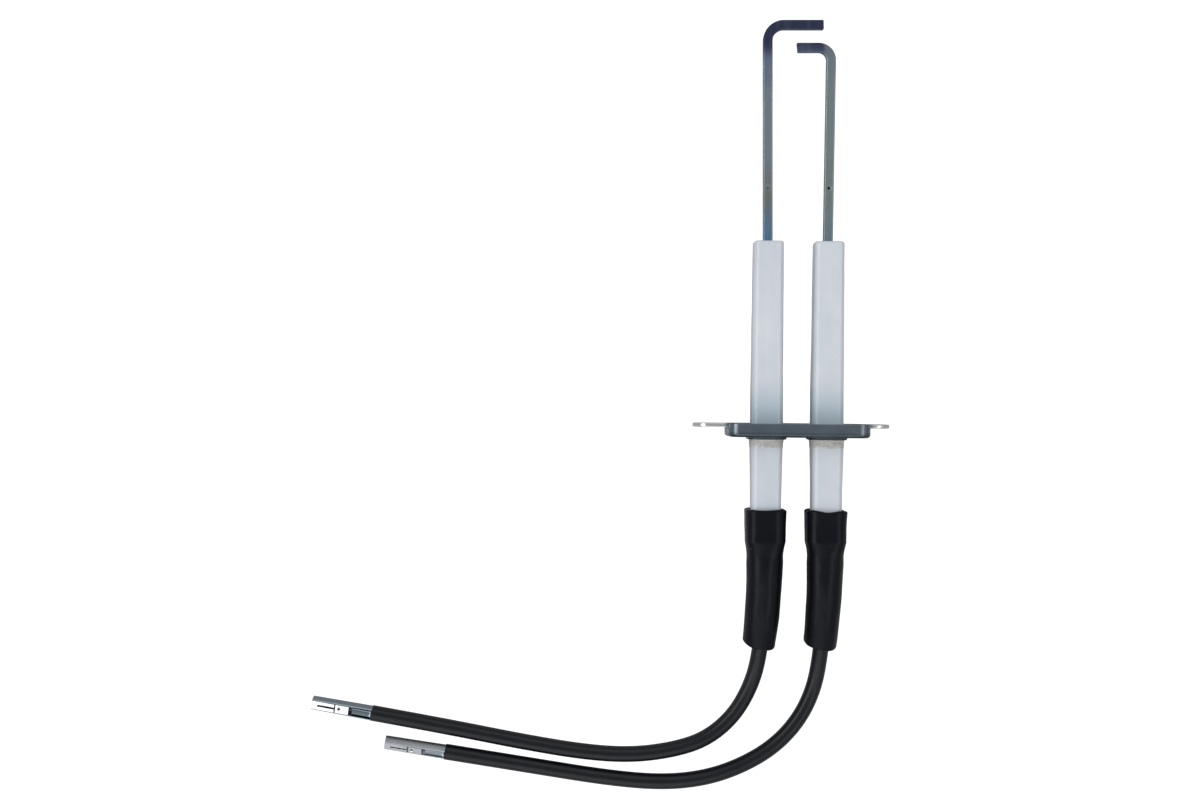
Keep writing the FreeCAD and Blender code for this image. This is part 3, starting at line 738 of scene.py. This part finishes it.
def insulator_grid(sizes, side):
    """A square tube, closed in both directions: along the outside, round the worn end, into the
    counterbore, back through the bore and out at the front. Sine unevenness gives the glaze its waves, long
    thin waves give the die's lines, and the highest crests near the ends are taken off as chips."""
    node, seed = "insulator_" + side, SEEDS[side]
    low, high = span(node)
    plug_low, plug_high = span("front_cement_" + side)
    plug_r, plug_end = (plug_high[0] - plug_low[0]) / 2, high[1] - plug_low[1]
    bore_r, worn, front, rear = plug_r - 0.5 * MM, sizes.insulator_end, high[1], low[1]
    half = (high[0] - low[0]) / 2
    points, looks = square_outline(half, sizes.insulator_corner, arc_steps=10, side_steps=26)

    along = np.linspace(front - worn, rear + worn, 110)
    front_in = sizes.front_side / 2 - half
    rear_in = sizes.tail_side / 2 - half
    outside = carried(
        points, looks, at(front_in - worn, front),
        bend(front_in - worn, front - worn, worn, 90, 0, 7)[1:-1],
        np.stack([insulator_half(sizes, node, along) - half, along], -1),
        bend(rear_in - worn, rear + worn, worn, 0, -90, 7)[1:],
    )
    outward = np.stack([looks[:, 0], np.zeros(len(looks)), looks[:, 1]], -1)
    end = np.minimum(front - outside[..., 1], outside[..., 1] - rear)
    chip = np.clip(uneven(outside, 1.3 * MM, seed) - 0.9, 0, 1) * np.exp(-((end / (0.7 * MM)) ** 2))
    wave = sizes.glaze_wave * uneven(outside, 9 * MM, seed + 1)
    wave += 0.012 * MM * uneven(outside * (1, 0.03, 1), 1.4 * MM, seed + 2)
    outside += outward * (wave - 0.5 * MM * chip)[..., None]

    def mouth(place, inward):
        return [
            disc_row(points, plug_r + 0.15 * MM, place),
            disc_row(points, plug_r, place + inward * 0.15 * MM),
            disc_row(points, plug_r, place + inward * plug_end),
            disc_row(points, bore_r, place + inward * plug_end),
        ]

    bore = mouth(rear, 1) + mouth(front, -1)[::-1]
    grid = np.concatenate([outside] + bore + [outside[:1]])
    return grid + ((low[0] + high[0]) / 2, 0, 0)


def plug_grid(side):
    """Cement in the insulator's front end: a disc whose face dips between the rod and the counterbore, with
    an uneven surface, and a plain back."""
    low, high = span("front_cement_" + side)
    radius, centre = (high[0] - low[0]) / 2, (low[0] + high[0]) / 2
    points, _ = square_outline(radius, radius * 0.5)
    share = np.linspace(0, 1, 16)
    face = np.concatenate([disc_row(points, radius * s, high[1]) for s in share])
    dip = np.sin(np.clip((share - 0.5) / 0.5, 0, 1) * math.pi)[:, None]
    face[..., 1] += 0.12 * MM * (uneven(face, 0.9 * MM, SEEDS[side]) - 1) - 0.25 * MM * dip
    back = [disc_row(points, radius, low[1]), disc_row(points, 0.0, low[1])]
    return np.concatenate([face, *back]) + (centre, 0, 0)


def tray_fill_grid(sizes):
    """Cement cast in the tray: rows from the middle out to the tray's walls, with a face that climbs a
    little at the walls and at each insulator and is uneven in between, and a flat back."""
    low, high = span("tray_cement")
    points, looks = outline(
        (low[0], low[2]), (high[0], high[2]), [sizes.tray_corner - sizes.sheet] * 4, side_steps=60
    )
    share = np.linspace(0, 1, 70)[:, None, None]
    flat = points * share
    face = np.stack([flat[..., 0], np.full(flat.shape[:2], high[1]), flat[..., 1]], -1)
    half = insulator_half(sizes, "insulator_right", 0.0)
    centre = (span("insulator_right")[0][0] + span("insulator_right")[1][0]) / 2
    gap = np.maximum(abs(abs(face[..., 0]) - centre), abs(face[..., 2])) - half
    wall = np.minimum(high[0] - abs(face[..., 0]), high[2] - abs(face[..., 2]))
    climb = np.exp(-((np.minimum(abs(gap), wall) / (0.6 * MM)) ** 2))
    face[..., 1] += 0.35 * MM * climb + 0.16 * MM * (uneven(face, 2.2 * MM, 5) - 1)
    face[..., 1] += 0.05 * MM * uneven(face, 0.7 * MM, 6)
    back = carried(points, looks, at(0, low[1]))
    return np.concatenate([face, back, back * (0, 1, 0)])


def collar_cement_grid(sizes, side):
    """The cement ring under a collar: a closed ring about the insulator, full inside the collar and smeared
    out thin behind it, with an uneven edge."""
    node, seed = "collar_cement_" + side, SEEDS[side] + 5
    low, high = span(node)
    lip = span("mounting_flange")[0][1]
    centre = (low[0] + high[0]) / 2
    half = insulator_half(sizes, "insulator_" + side, lip)
    points, looks = square_outline(half, sizes.insulator_corner, arc_steps=10, side_steps=30)
    along = np.concatenate([np.linspace(high[1], lip, 6), np.linspace(lip, low[1], 26)[1:]])
    thick = np.interp(
        along, [low[1], lip - 1.3 * MM, lip - 0.6 * MM, lip], [0.02 * MM, 0.07 * MM, 0.12 * MM, 0.25 * MM]
    )
    outside = carried(points, looks, np.stack([thick, along], -1))
    behind = np.clip((lip - outside[..., 1]) / (lip - low[1]), 0, 1)
    outward = np.stack([looks[:, 0], np.zeros(len(looks)), looks[:, 1]], -1)
    bump = uneven(outside, 1.1 * MM, seed) * 0.05 * MM + uneven(outside, 3.5 * MM, seed + 1) * 0.05 * MM
    outside += outward * (bump * np.sqrt(behind))[..., None]
    outside[..., 1] -= behind * 0.22 * MM * (uneven(outside * (1, 0, 1), 3 * MM, seed + 2) - 0.6)
    inside = carried(points, looks, at(-0.3 * MM, low[1] + 0.3 * MM, high[1]))
    return np.concatenate([outside, inside, outside[:1]]) + (centre, 0, 0)


def rod_line(sizes, side):
    """A rod's middle line: up from its tail, a slight lean outside the insulator, a round bend and the arm
    to the tip, in steps that are fine at the bend and at the punch mark. Gives points, distances and
    directions."""
    low, high = span("electrode_" + side)
    half = sizes.rod_width / 2
    start_x = ROUTES[side][0][0]
    mouth = span("insulator_" + side)[1][1] - LEAN_START
    slope = math.tan(math.radians(ARM_SLOPE))
    tip_x = high[0] if side == "left" else low[0]
    arm_top = high[1] - half
    reach = arm_top - abs(tip_x - start_x) * slope if side == "left" else arm_top
    corner_x = start_x + (reach - mouth) * math.tan(math.radians(ROD_LEANS[side]))
    tip_y = reach + (tip_x - corner_x) * slope
    corners = np.array([(start_x, low[1]), (start_x, mouth), (corner_x, reach), (tip_x, tip_y)])
    runs = np.diff(corners, axis=0)
    runs /= np.linalg.norm(runs, axis=1, keepdims=True)
    pieces = [corners[:1]]
    for corner, before, after, bend_r in zip(corners[1:], runs, runs[1:], (LEAN_BEND, ROD_BENDS[side])):
        turn = math.acos(np.clip(before @ after, -1, 1))
        inward = after - before
        centre = corner + inward / np.linalg.norm(inward) * bend_r / math.cos(turn / 2)
        angles = np.linspace(-turn / 2, turn / 2, max(3, int(turn * 30)))[:, None]
        back = (corner - centre) / np.linalg.norm(corner - centre)
        forward = (before + after) / np.linalg.norm(before + after)
        pieces.append(centre + bend_r * (back * np.cos(angles) + forward * np.sin(angles)))
    pieces.append(corners[-1:])
    line = np.concatenate(pieces)
    gone = np.r_[0, np.linalg.norm(np.diff(line, axis=0), axis=1).cumsum()]
    mark = np.interp(sizes.mark_above, line[:6, 1], gone[:6])
    total = gone[-1]
    places = np.unique(np.concatenate([
        np.linspace(0, total, 260), np.linspace(mark - 1.2 * MM, mark + 1.2 * MM, 36),
        total - np.linspace(0, 0.4 * MM, 6),
    ]))
    spots = np.stack([np.interp(places, gone, line[:, axis]) for axis in (0, 1)], -1)
    heading = np.gradient(spots, places, axis=0)
    return spots, places, heading / np.linalg.norm(heading, axis=1, keepdims=True), total - places


def rod_grid(sizes, side):
    """A flat bar with soft edges, carried along its bent middle line and closed at both ends. Sine
    unevenness dents it slightly, and a dimple with a raised rim on its upper face is the punch mark."""
    spots, places, heading, left = rod_line(sizes, side)
    seed = SEEDS[side] + 9
    half, deep, edge = sizes.rod_width / 2, sizes.rod_thickness / 2, sizes.rod_edge
    ring, looks = outline((-half, -deep), (half, deep), [edge] * 4, arc_steps=5, side_steps=22)
    cut = 0.12 * MM
    inset = cut * (1 - np.sqrt(1 - (1 - np.clip(np.minimum(left, places) / cut, 0, 1)) ** 2))
    section = ring[None] - looks[None] * inset[:, None, None]
    across = np.stack([heading[:, 1], -heading[:, 0]], -1)
    flat = spots[:, None] + across[:, None] * section[..., :1]
    slant = TIP_CUTS[side] * np.clip(1 - left / (3 * MM), 0, 1)
    flat = flat + heading[:, None] * (section[..., :1] - half) * slant[:, None, None]
    grid = np.concatenate([flat, section[..., 1:]], -1)
    outward = np.stack([
        across[:, None, 0] * looks[None, :, 0], across[:, None, 1] * looks[None, :, 0],
        np.repeat(looks[None, :, 1], len(spots), 0),
    ], -1)
    dents = uneven(grid, 12 * MM, seed) * 0.006 * MM + uneven(grid, 1.6 * MM, seed + 1) * 0.001 * MM
    grid = grid + outward * (dents - 0.008 * MM)[..., None]
    mark_x = np.interp(sizes.mark_above, spots[:200, 1], spots[:200, 0])
    away = np.hypot(grid[..., 0] - mark_x, grid[..., 1] - sizes.mark_above) / sizes.mark_radius
    dimple = 0.24 * MM * np.clip(1 - away**2, 0, 1) - 0.05 * MM * np.exp(-(((away - 1.25) / 0.3) ** 2))
    grid[..., 2] -= np.where(looks[None, :, 1] > 0.9, dimple, 0)
    poles = [np.repeat(grid[end].mean(0)[None, None], grid.shape[1], axis=1) for end in (0, -1)]
    return np.concatenate([poles[0], grid, poles[1]])


def boot_length(sizes):
    return sizes.boot_grip + BOOT_STRAIGHT + BOOT_DROOP_LENGTH


def boot_frames(sizes, side, distance):
    """Places and directions along a boot's axis: straight over the insulator's tail, then a round droop
    towards the bench that also sways towards -X. Gives centres, sideways and upward directions, and
    headings."""
    low, high = span("insulator_" + side)
    centre_x, rear = (low[0] + high[0]) / 2, low[1]
    sway = math.radians(BOOT_SWAYS[side])
    down = np.array([-math.sin(sway), 0, -math.cos(sway)])
    straight = sizes.boot_grip + BOOT_STRAIGHT
    turn = np.clip(distance - straight, 0, None)[:, None] / BOOT_DROOP_BEND
    start = np.array([centre_x, rear + sizes.boot_grip, 0])
    rearward = np.array([0, -1.0, 0])
    centre = start + rearward * (np.minimum(distance, straight)[:, None] + BOOT_DROOP_BEND * np.sin(turn))
    centre = centre + down * BOOT_DROOP_BEND * (1 - np.cos(turn))
    heading = rearward * np.cos(turn) + down * np.sin(turn)
    up = np.array([0, 0, 1.0]) - heading * heading[:, 2:]
    up /= np.linalg.norm(up, axis=1, keepdims=True)
    return centre, np.cross(up, heading), up, heading


def boot_grid(sizes, side):
    """A rubber sleeve, closed in both directions: down the outside, round the rear rim, back up the bore
    and round the front rim. Its section is the insulator's rounded square and turns into a circle behind
    it. The front rim is widest, with small peaks at its corners, and the sleeve narrows evenly to the
    insulator's hidden end. The rear rim is cut at a slight angle, and unevenness makes both rims ragged."""
    seed, wall, grip = SEEDS[side] + 21, sizes.boot_wall, sizes.boot_grip
    total = boot_length(sizes)
    rim = wall * 0.45
    turn = np.linspace(0, math.pi, 9)
    outer = np.concatenate([np.linspace(rim, grip + 4 * MM, 46), np.linspace(grip + 4.5 * MM, total - rim, 44)])
    place = np.concatenate([
        outer, total - rim + rim * np.sin(turn[1:-1]), outer[::-1], rim - rim * np.sin(turn[1:-1]), outer[:1],
    ])
    deep = np.concatenate([
        np.zeros(len(outer)), (1 - np.cos(turn[1:-1])) / 2,
        np.ones(len(outer)), (1 + np.cos(turn[1:-1])) / 2, [0],
    ])
    tail = sizes.tail_side / 2
    stations = np.array([0, grip - 0.3 * MM, grip + 1.8 * MM, grip + 4.5 * MM, total])
    bore = np.interp(place, stations, [tail, tail, tail - 0.05 * MM, 3.52 * MM, 3.08 * MM])
    skin = np.interp(place, *(np.array(BOOT_SKIN).T * MM))
    half = bore * deep + skin * (1 - deep)
    roundness = np.interp(place, stations, [0, 0, 0.35, 0.92, 1.0])
    corner = sizes.insulator_corner + (skin - bore) * (1 - deep)
    points, looks = square_outline(1.0, 0.5, arc_steps=10, side_steps=16)
    seats = (points - 0.5 * looks) / 0.5
    square = (half - corner)[:, None, None] * seats + corner[:, None, None] * looks
    radial = points / np.linalg.norm(points, axis=-1, keepdims=True)
    section = square * (1 - roundness)[:, None, None] + radial * (half * roundness)[:, None, None]
    cornerness = (np.linalg.norm(points, axis=-1) - 1) / (np.linalg.norm(points, axis=-1).max() - 1)
    flare = sizes.boot_flare * np.exp(-((place / (1.5 * MM)) ** 1.5))[:, None] * (0.55 + 0.6 * cornerness)
    ridge = 0.05 * MM * np.exp(-(((place - grip - 0.2 * MM) / (0.7 * MM)) ** 2))[:, None]
    suck = -0.10 * MM * np.exp(-(((place - grip - 3.4 * MM) / (1.2 * MM)) ** 2))[:, None]
    section = section + radial * (flare + (ridge + suck) * (deep < 0.5)[:, None])[..., None]

    centre, aside, up, heading = boot_frames(sizes, side, place)
    grid = centre[:, None] + aside[:, None] * section[..., :1] + up[:, None] * section[..., 1:]
    front = np.exp(-((place / (1.6 * MM)) ** 2))[:, None]
    rear = np.exp(-(((total - place) / (1.5 * MM)) ** 2))[:, None]
    flat = section_places(section)
    sag = front * (BOOT_RIM_DIPS[side] * (1 - cornerness) + 0.08 * MM * uneven(flat, 6 * MM, seed))
    ragged = rear * (0.2 * MM * uneven(flat, 5 * MM, seed + 1) - 0.45 * MM)
    ragged = ragged + rear * 0.1 * section[..., 0]
    grid = grid + heading[:, None] * (sag + ragged)[..., None]
    way = aside[:, None] * radial[None, :, :1] + up[:, None] * radial[None, :, 1:]
    lumps = uneven(grid, 8 * MM, seed + 2) * 0.05 * MM + uneven(grid, 2.5 * MM, seed + 3) * 0.012 * MM
    return grid + way * (lumps * (deep < 0.5)[:, None])[..., None]


def section_places(section):
    """Section points as places in space, for unevenness that depends only on the way round."""
    return np.concatenate([section, np.zeros(section.shape[:2] + (1,))], -1)


def terminal_place(sizes, side, points):
    """Moves a terminal from its own frame, with +X from the jacket's end to the tip and +Z out of the seam,
    to the end of its lead."""
    before, last = (np.array(p) for p in ROUTES[side][-2:])
    along = (last - before) / np.linalg.norm(last - before)
    across = np.cross((0, 0, 1), along)
    across /= np.linalg.norm(across)
    lift = np.cross(along, across)
    roll = sizes.left_roll if side == "left" else sizes.right_roll
    tipped_across = across * math.cos(roll) - lift * math.sin(roll)
    tipped_lift = across * math.sin(roll) + lift * math.cos(roll)
    return last + points @ np.stack([along, tipped_across, tipped_lift])


def terminal_grids(sizes):
    """A box receptacle folded from strip: an open channel, a top plate in two flaps with a seam between
    them and a land that joins them at the tip, a bridge with the locking hole, and a spring tongue inside.
    Gives the channel's grids and the rest."""
    strip, total = sizes.terminal_strip, sizes.terminal_length
    tip, rear, height, fold = 1.42 * MM, 1.6 * MM, 2.7 * MM, 0.45 * MM
    middle = (height - strip) / 2
    turn = np.linspace(0, math.pi / 2, 6)
    rise = np.linspace(middle, -middle + fold, 6)[:-1]
    right = np.stack([
        np.r_[np.zeros(5), -fold * (1 - np.cos(turn))], np.r_[rise, -middle + fold - fold * np.sin(turn)],
    ], -1)
    places = np.r_[0, np.linspace(0.15 * MM, total - 0.1 * MM, 40), total]
    half = np.interp(places, [0, total], [rear, tip])[:, None] - strip / 2
    flank = half + right[:, 0]
    channel = np.stack([
        np.repeat(places[:, None], 2 * len(right), 1), np.concatenate([flank, -flank[:, ::-1]], 1),
        np.repeat(np.r_[right[:, 1], right[::-1, 1]][None], len(places), 0),
    ], -1)

    def flat(start, end, low, high, steps=8):
        x, y = np.meshgrid(np.linspace(start, end, steps), np.linspace(low, high, steps), indexing="ij")
        return np.stack([x, y, np.full(x.shape, middle)], -1)

    inside = tip - strip - 0.02 * MM
    seam = 0.26 * MM
    bridge_start, bridge_end, flap_start = 5.9 * MM, 9.3 * MM, 9.6 * MM
    land = 1.5 * MM
    sheets = [
        flat(flap_start, total, seam, inside), flat(flap_start, total, -inside, -seam),
        flat(total - land, total, -seam, seam),
    ]
    tongue_places, tongue_half = [10.2 * MM, 12.4 * MM, total - 1.2 * MM], 0.55 * MM
    tongue = flat(tongue_places[0], tongue_places[-1], -tongue_half, tongue_half, 14)
    tongue[..., 2] = np.interp(tongue[..., 0], tongue_places, [-middle, 0.35 * MM, -0.2 * MM])
    sheets.append(tongue)
    hole_x, hole_r = bridge_end - 0.9 * MM, 0.35 * MM
    points, _ = outline((bridge_start, -inside), (bridge_end, inside), [0.1 * MM] * 4)
    away = points - (hole_x, 0)
    hole = away / np.linalg.norm(away, axis=-1, keepdims=True) * hole_r + (hole_x, 0)
    share = np.array([0, 0.12, 0.25, 0.5, 0.75, 1.0])[:, None, None]
    ring = hole * (1 - share) + points * share
    dish = -0.12 * MM * np.exp(-(((np.linalg.norm(ring - (hole_x, 0), axis=-1) - hole_r) / (0.3 * MM)) ** 2))
    upper = np.concatenate([ring, (middle + strip / 2 + dish)[..., None]], -1)
    lower = np.concatenate([ring, (middle - strip / 2 + dish)[..., None]], -1)
    bridge = np.concatenate([upper, lower[::-1], upper[:1]])
    return plate(channel, strip), [bridge] + [grid for sheet in sheets for grid in plate(sheet, strip)]


def barrel_grid(sizes):
    """The crimp barrel in the terminal's rear: two rolled wings side by side, so its top has a valley along
    the middle, with grooves pressed across it. Its end rings close to points."""
    places = np.linspace(0.15 * MM, 5.0 * MM, 64)
    turn = np.linspace(0, 2 * math.pi, 65)
    half = 1.6 * MM - sizes.terminal_strip - 0.05 * MM
    y = half * np.sign(np.cos(turn)) * abs(np.cos(turn)) ** 0.7
    top = 0.85 * MM + 0.22 * MM * np.cos(2 * math.pi * np.clip(abs(y) / half - 0.5, -0.5, 0.5))
    z = np.where(np.sin(turn) > 0, abs(np.sin(turn)) ** 0.6 * top, -abs(np.sin(turn)) ** 0.6 * 1.1 * MM)
    groove = 0.03 * MM * np.clip(np.cos(2 * math.pi * places / (0.62 * MM)), 0, 1) ** 2
    bell = 0.25 * MM * np.exp(-(((places - places[0]) / (0.5 * MM)) ** 2))
    grid = np.stack([
        np.repeat(places[:, None], len(turn), 1), np.repeat(y[None], len(places), 0),
        z[None] + ((bell - groove)[:, None] * (z > 0.3 * MM)[None]),
    ], -1)
    ends = [np.array([[(places[end], 0, 0)]]).repeat(len(turn), 1) for end in (0, -1)]
    return np.concatenate([ends[0], grid, ends[1]])


# Operators --------------------------------------------------------------------------------------------------


def settings(context):
    return context.scene.electrode_sizes, context.scene.electrode_colours


def finish_nodes(material, *nodes):
    """Gives a finish to CAD nodes that keep their own shape."""
    for name in nodes:
        mesh = frame["nodes"][name].data
        mesh.materials.clear()
        mesh.materials.append(material)


class ELECTRODE_OT_stage(bpy.types.Operator):
    """Add the boards under the electrode, soft studio light and a camera that looks straight down"""

    bl_idname = "electrode.stage"
    bl_label = "Stage"

    def execute(self, context):
        _, colours = settings(context)
        scene = context.scene
        bench = CAD_BOX[0][2]
        # The camera sees only the white backdrop. The grey bench takes the bounced light and the shadows.
        boards = [("backdrop", bench - 0.5 * MM, colours.backdrop, 1.0), ("bench", bench, colours.bench, 0.0)]
        square = ((-1, -1), (1, -1), (1, 1), (-1, 1))
        for name, height, shade, glow in boards:
            mesh = bpy.data.meshes.new(name)
            corners = [(x * BOARD_REACH, y * BOARD_REACH, height) for x, y in square]
            mesh.from_pydata(corners, [], [(0, 1, 2, 3)])
            board = bpy.data.objects.new(name, mesh)
            scene.collection.objects.link(board)
            mesh.materials.append(board_finish("painted_" + name, shade, glow))
            board.visible_camera = name == "backdrop"
            board.visible_diffuse = board.visible_glossy = board.visible_shadow = name == "bench"

        lens = bpy.data.cameras.new("camera")
        lens.lens, lens.sensor_width = LENS, SENSOR
        camera = bpy.data.objects.new("camera", lens)
        camera.location = CAMERA_PLACE
        camera.rotation_euler = (0, 0, math.radians(CAMERA_TURN))
        scene.collection.objects.link(camera)
        scene.camera = camera

        world = bpy.data.worlds.new("studio")
        world.use_nodes = True
        tree = world.node_tree
        tree.nodes.clear()
        upward = coordinate(tree, add_node(tree, "TexCoord").outputs["Generated"], "Z")
        sky = add_node(tree, "ValToRGB", {"Fac": upward}, stops=SKY)
        dome = add_node(tree, "Background", {"Color": sky, "Strength": WORLD_STRENGTH})
        add_node(tree, "OutputWorld", {"Surface": dome})
        scene.world = world
        for name, spot, size, power in LAMPS:
            light = bpy.data.lights.new(name, "AREA")
            light.shape, light.energy = "RECTANGLE", power
            light.size, light.size_y = size
            lamp = bpy.data.objects.new(name, light)
            lamp.location = spot
            aim = np.array(LAMP_AIM) - spot
            yaw, tilt = math.atan2(aim[1], aim[0]), math.acos(-aim[2] / np.linalg.norm(aim))
            lamp.rotation_euler = (0, -tilt, yaw)
            scene.collection.objects.link(lamp)
        scene.view_settings.view_transform = "Standard"
        return {"FINISHED"}


class ELECTRODE_OT_leads(bpy.types.Operator):
    """Add both leads along their routes, with the terminals on their ends"""

    bl_idname = "electrode.leads"
    bl_label = "Leads and terminals"

    def execute(self, context):
        sizes, colours = settings(context)
        jacket = extruded_silicone(colours)
        tin = tin_plate(colours, "bright_tin_plated_strip", colours.tin)
        # Painted shade on the folded walls, darker on the left terminal than on the right.
        folded = {
            "left": tin_plate(colours, "shaded_wall_tin_plated_strip", TIN_WALLS_PAINTED_SHADE["left"]),
            "right": tin_plate(colours, "lit_wall_tin_plated_strip", TIN_WALLS_PAINTED_SHADE["right"]),
        }
        crimped = tin_plate(colours, "crimped_tin_plated_strip", TIN_CRIMPED)
        for side in SIDES:
            curve = bpy.data.curves.new("lead_" + side, "CURVE")
            curve.dimensions = "3D"
            spline = curve.splines.new("NURBS")
            spline.points.add(len(ROUTES[side]) - 1)
            for point, place in zip(spline.points, ROUTES[side]):
                point.co = (*place, 1.0)
            spline.order_u = 3
            spline.use_endpoint_u = True
            spline.resolution_u = 16
            curve.bevel_depth = sizes.lead_diameter / 2
            curve.bevel_resolution = 10
            curve.use_fill_caps = True
            lead = bpy.data.objects.new("lead_" + side, curve)
            context.scene.collection.objects.link(lead)
            settle(lead, jacket, "jacket_rubber", "lead_jacket_" + side)
            walls, top = (
                [terminal_place(sizes, side, grid) for grid in grids] for grids in terminal_grids(sizes)
            )
            box = make_piece("terminal_box_" + side, top, tin, "terminal_tin", "terminal_" + side)
            channel = make_piece("terminal_channel_" + side, walls, folded[side], "terminal_tin")
            soften(box, 0.05 * MM)
            soften(channel, 0.05 * MM)
            barrel = make_piece(
                "terminal_barrel_" + side, [terminal_place(sizes, side, barrel_grid(sizes))],
                crimped, "terminal_tin",
            )
            mouth = boot_frames(sizes, side, np.array([boot_length(sizes)]))[0][0]
        return {"FINISHED"}


class ELECTRODE_OT_flange(bpy.types.Operator):
    """Add the pressed flange with its collars and screw ears"""

    bl_idname = "electrode.flange"
    bl_label = "Flange"

    def execute(self, context):
        sizes, colours = settings(context)
        make_piece(
            "flange_pressing", flange_grids(sizes), zinc_plated_steel(colours),
            "flange_steel", "mounting_flange",
        )
        return {"FINISHED"}


class ELECTRODE_OT_cement(bpy.types.Operator):
    """Add the cement in the tray, under the collars and in the insulators' ends"""

    bl_idname = "electrode.cement"
    bl_label = "Cement"

    def execute(self, context):
        sizes, colours = settings(context)
        cement = refractory_cement(colours)
        make_piece("tray_fill", [tray_fill_grid(sizes)], cement, "cement", "tray_cement")
        for side in SIDES:
            make_piece(
                "collar_ring_" + side, [collar_cement_grid(sizes, side)],
                cement, "cement", "collar_cement_" + side,
            )
            make_piece("front_plug_" + side, [plug_grid(side)], cement, "cement", "front_cement_" + side)
            finish_nodes(cement, "rear_cement_" + side)
        return {"FINISHED"}


class ELECTRODE_OT_insulators(bpy.types.Operator):
    """Add both glazed insulators"""

    bl_idname = "electrode.insulators"
    bl_label = "Insulators"

    def execute(self, context):
        sizes, colours = settings(context)
        ceramic = glazed_alumina(colours)
        for side in SIDES:
            make_piece(
                "insulator_bar_" + side, [insulator_grid(sizes, side)], ceramic, "insulator_ceramic",
                "insulator_" + side,
            )
        return {"FINISHED"}


class ELECTRODE_OT_rods(bpy.types.Operator):
    """Add both bent rods, and finish the splices and wires on their hidden tails"""

    bl_idname = "electrode.rods"
    bl_label = "Rods"

    def execute(self, context):
        sizes, colours = settings(context)
        alloy = heat_tinted_rod(sizes, colours)
        for side in SIDES:
            make_piece("rod_" + side, [rod_grid(sizes, side)], alloy, "electrode_metal", "electrode_" + side)
        finish_nodes(crimped_brass(colours), *("crimp_splice_" + side for side in SIDES))
        finish_nodes(tinned_strands(colours), *("conductor_" + side for side in SIDES))
        return {"FINISHED"}


class ELECTRODE_OT_boots(bpy.types.Operator):
    """Add both rubber boots"""

    bl_idname = "electrode.boots"
    bl_label = "Boots"

    def execute(self, context):
        sizes, colours = settings(context)
        rubber = moulded_silicone(colours)
        for side in SIDES:
            make_piece("sleeve_" + side, [boot_grid(sizes, side)], rubber, "boot_rubber", "boot_" + side)
        return {"FINISHED"}


OPERATORS = (
    ELECTRODE_OT_stage, ELECTRODE_OT_leads, ELECTRODE_OT_flange, ELECTRODE_OT_cement, ELECTRODE_OT_insulators,
    ELECTRODE_OT_rods, ELECTRODE_OT_boots,
)


class ELECTRODE_PT_sidebar(bpy.types.Panel):
    """Lists the electrode's pieces in the order in which they are made"""

    bl_label = "Spark electrode"
    bl_space_type = "VIEW_3D"
    bl_region_type = "UI"
    bl_category = "Spark electrode"

    def draw(self, context):
        for operator in OPERATORS:
            self.layout.operator(operator.bl_idname)
        for group in settings(context):
            column = self.layout.column()
            for name in group.bl_rna.properties.keys():
                if name not in ("rna_type", "name"):
                    column.prop(group, name)


CLASSES = (ElectrodeSizes, ElectrodeColours, *OPERATORS, ELECTRODE_PT_sidebar)


def register():
    for cls in CLASSES:
        bpy.utils.register_class(cls)
    bpy.types.Scene.electrode_sizes = PointerProperty(type=ElectrodeSizes)
    bpy.types.Scene.electrode_colours = PointerProperty(type=ElectrodeColours)


def unregister():
    del bpy.types.Scene.electrode_colours
    del bpy.types.Scene.electrode_sizes
    for cls in reversed(CLASSES):
        bpy.utils.unregister_class(cls)


def main():
    register()
    for operator in OPERATORS:
        group, name = operator.bl_idname.split(".")
        getattr(getattr(bpy.ops, group), name)()


if __name__ == "__main__":
    main()
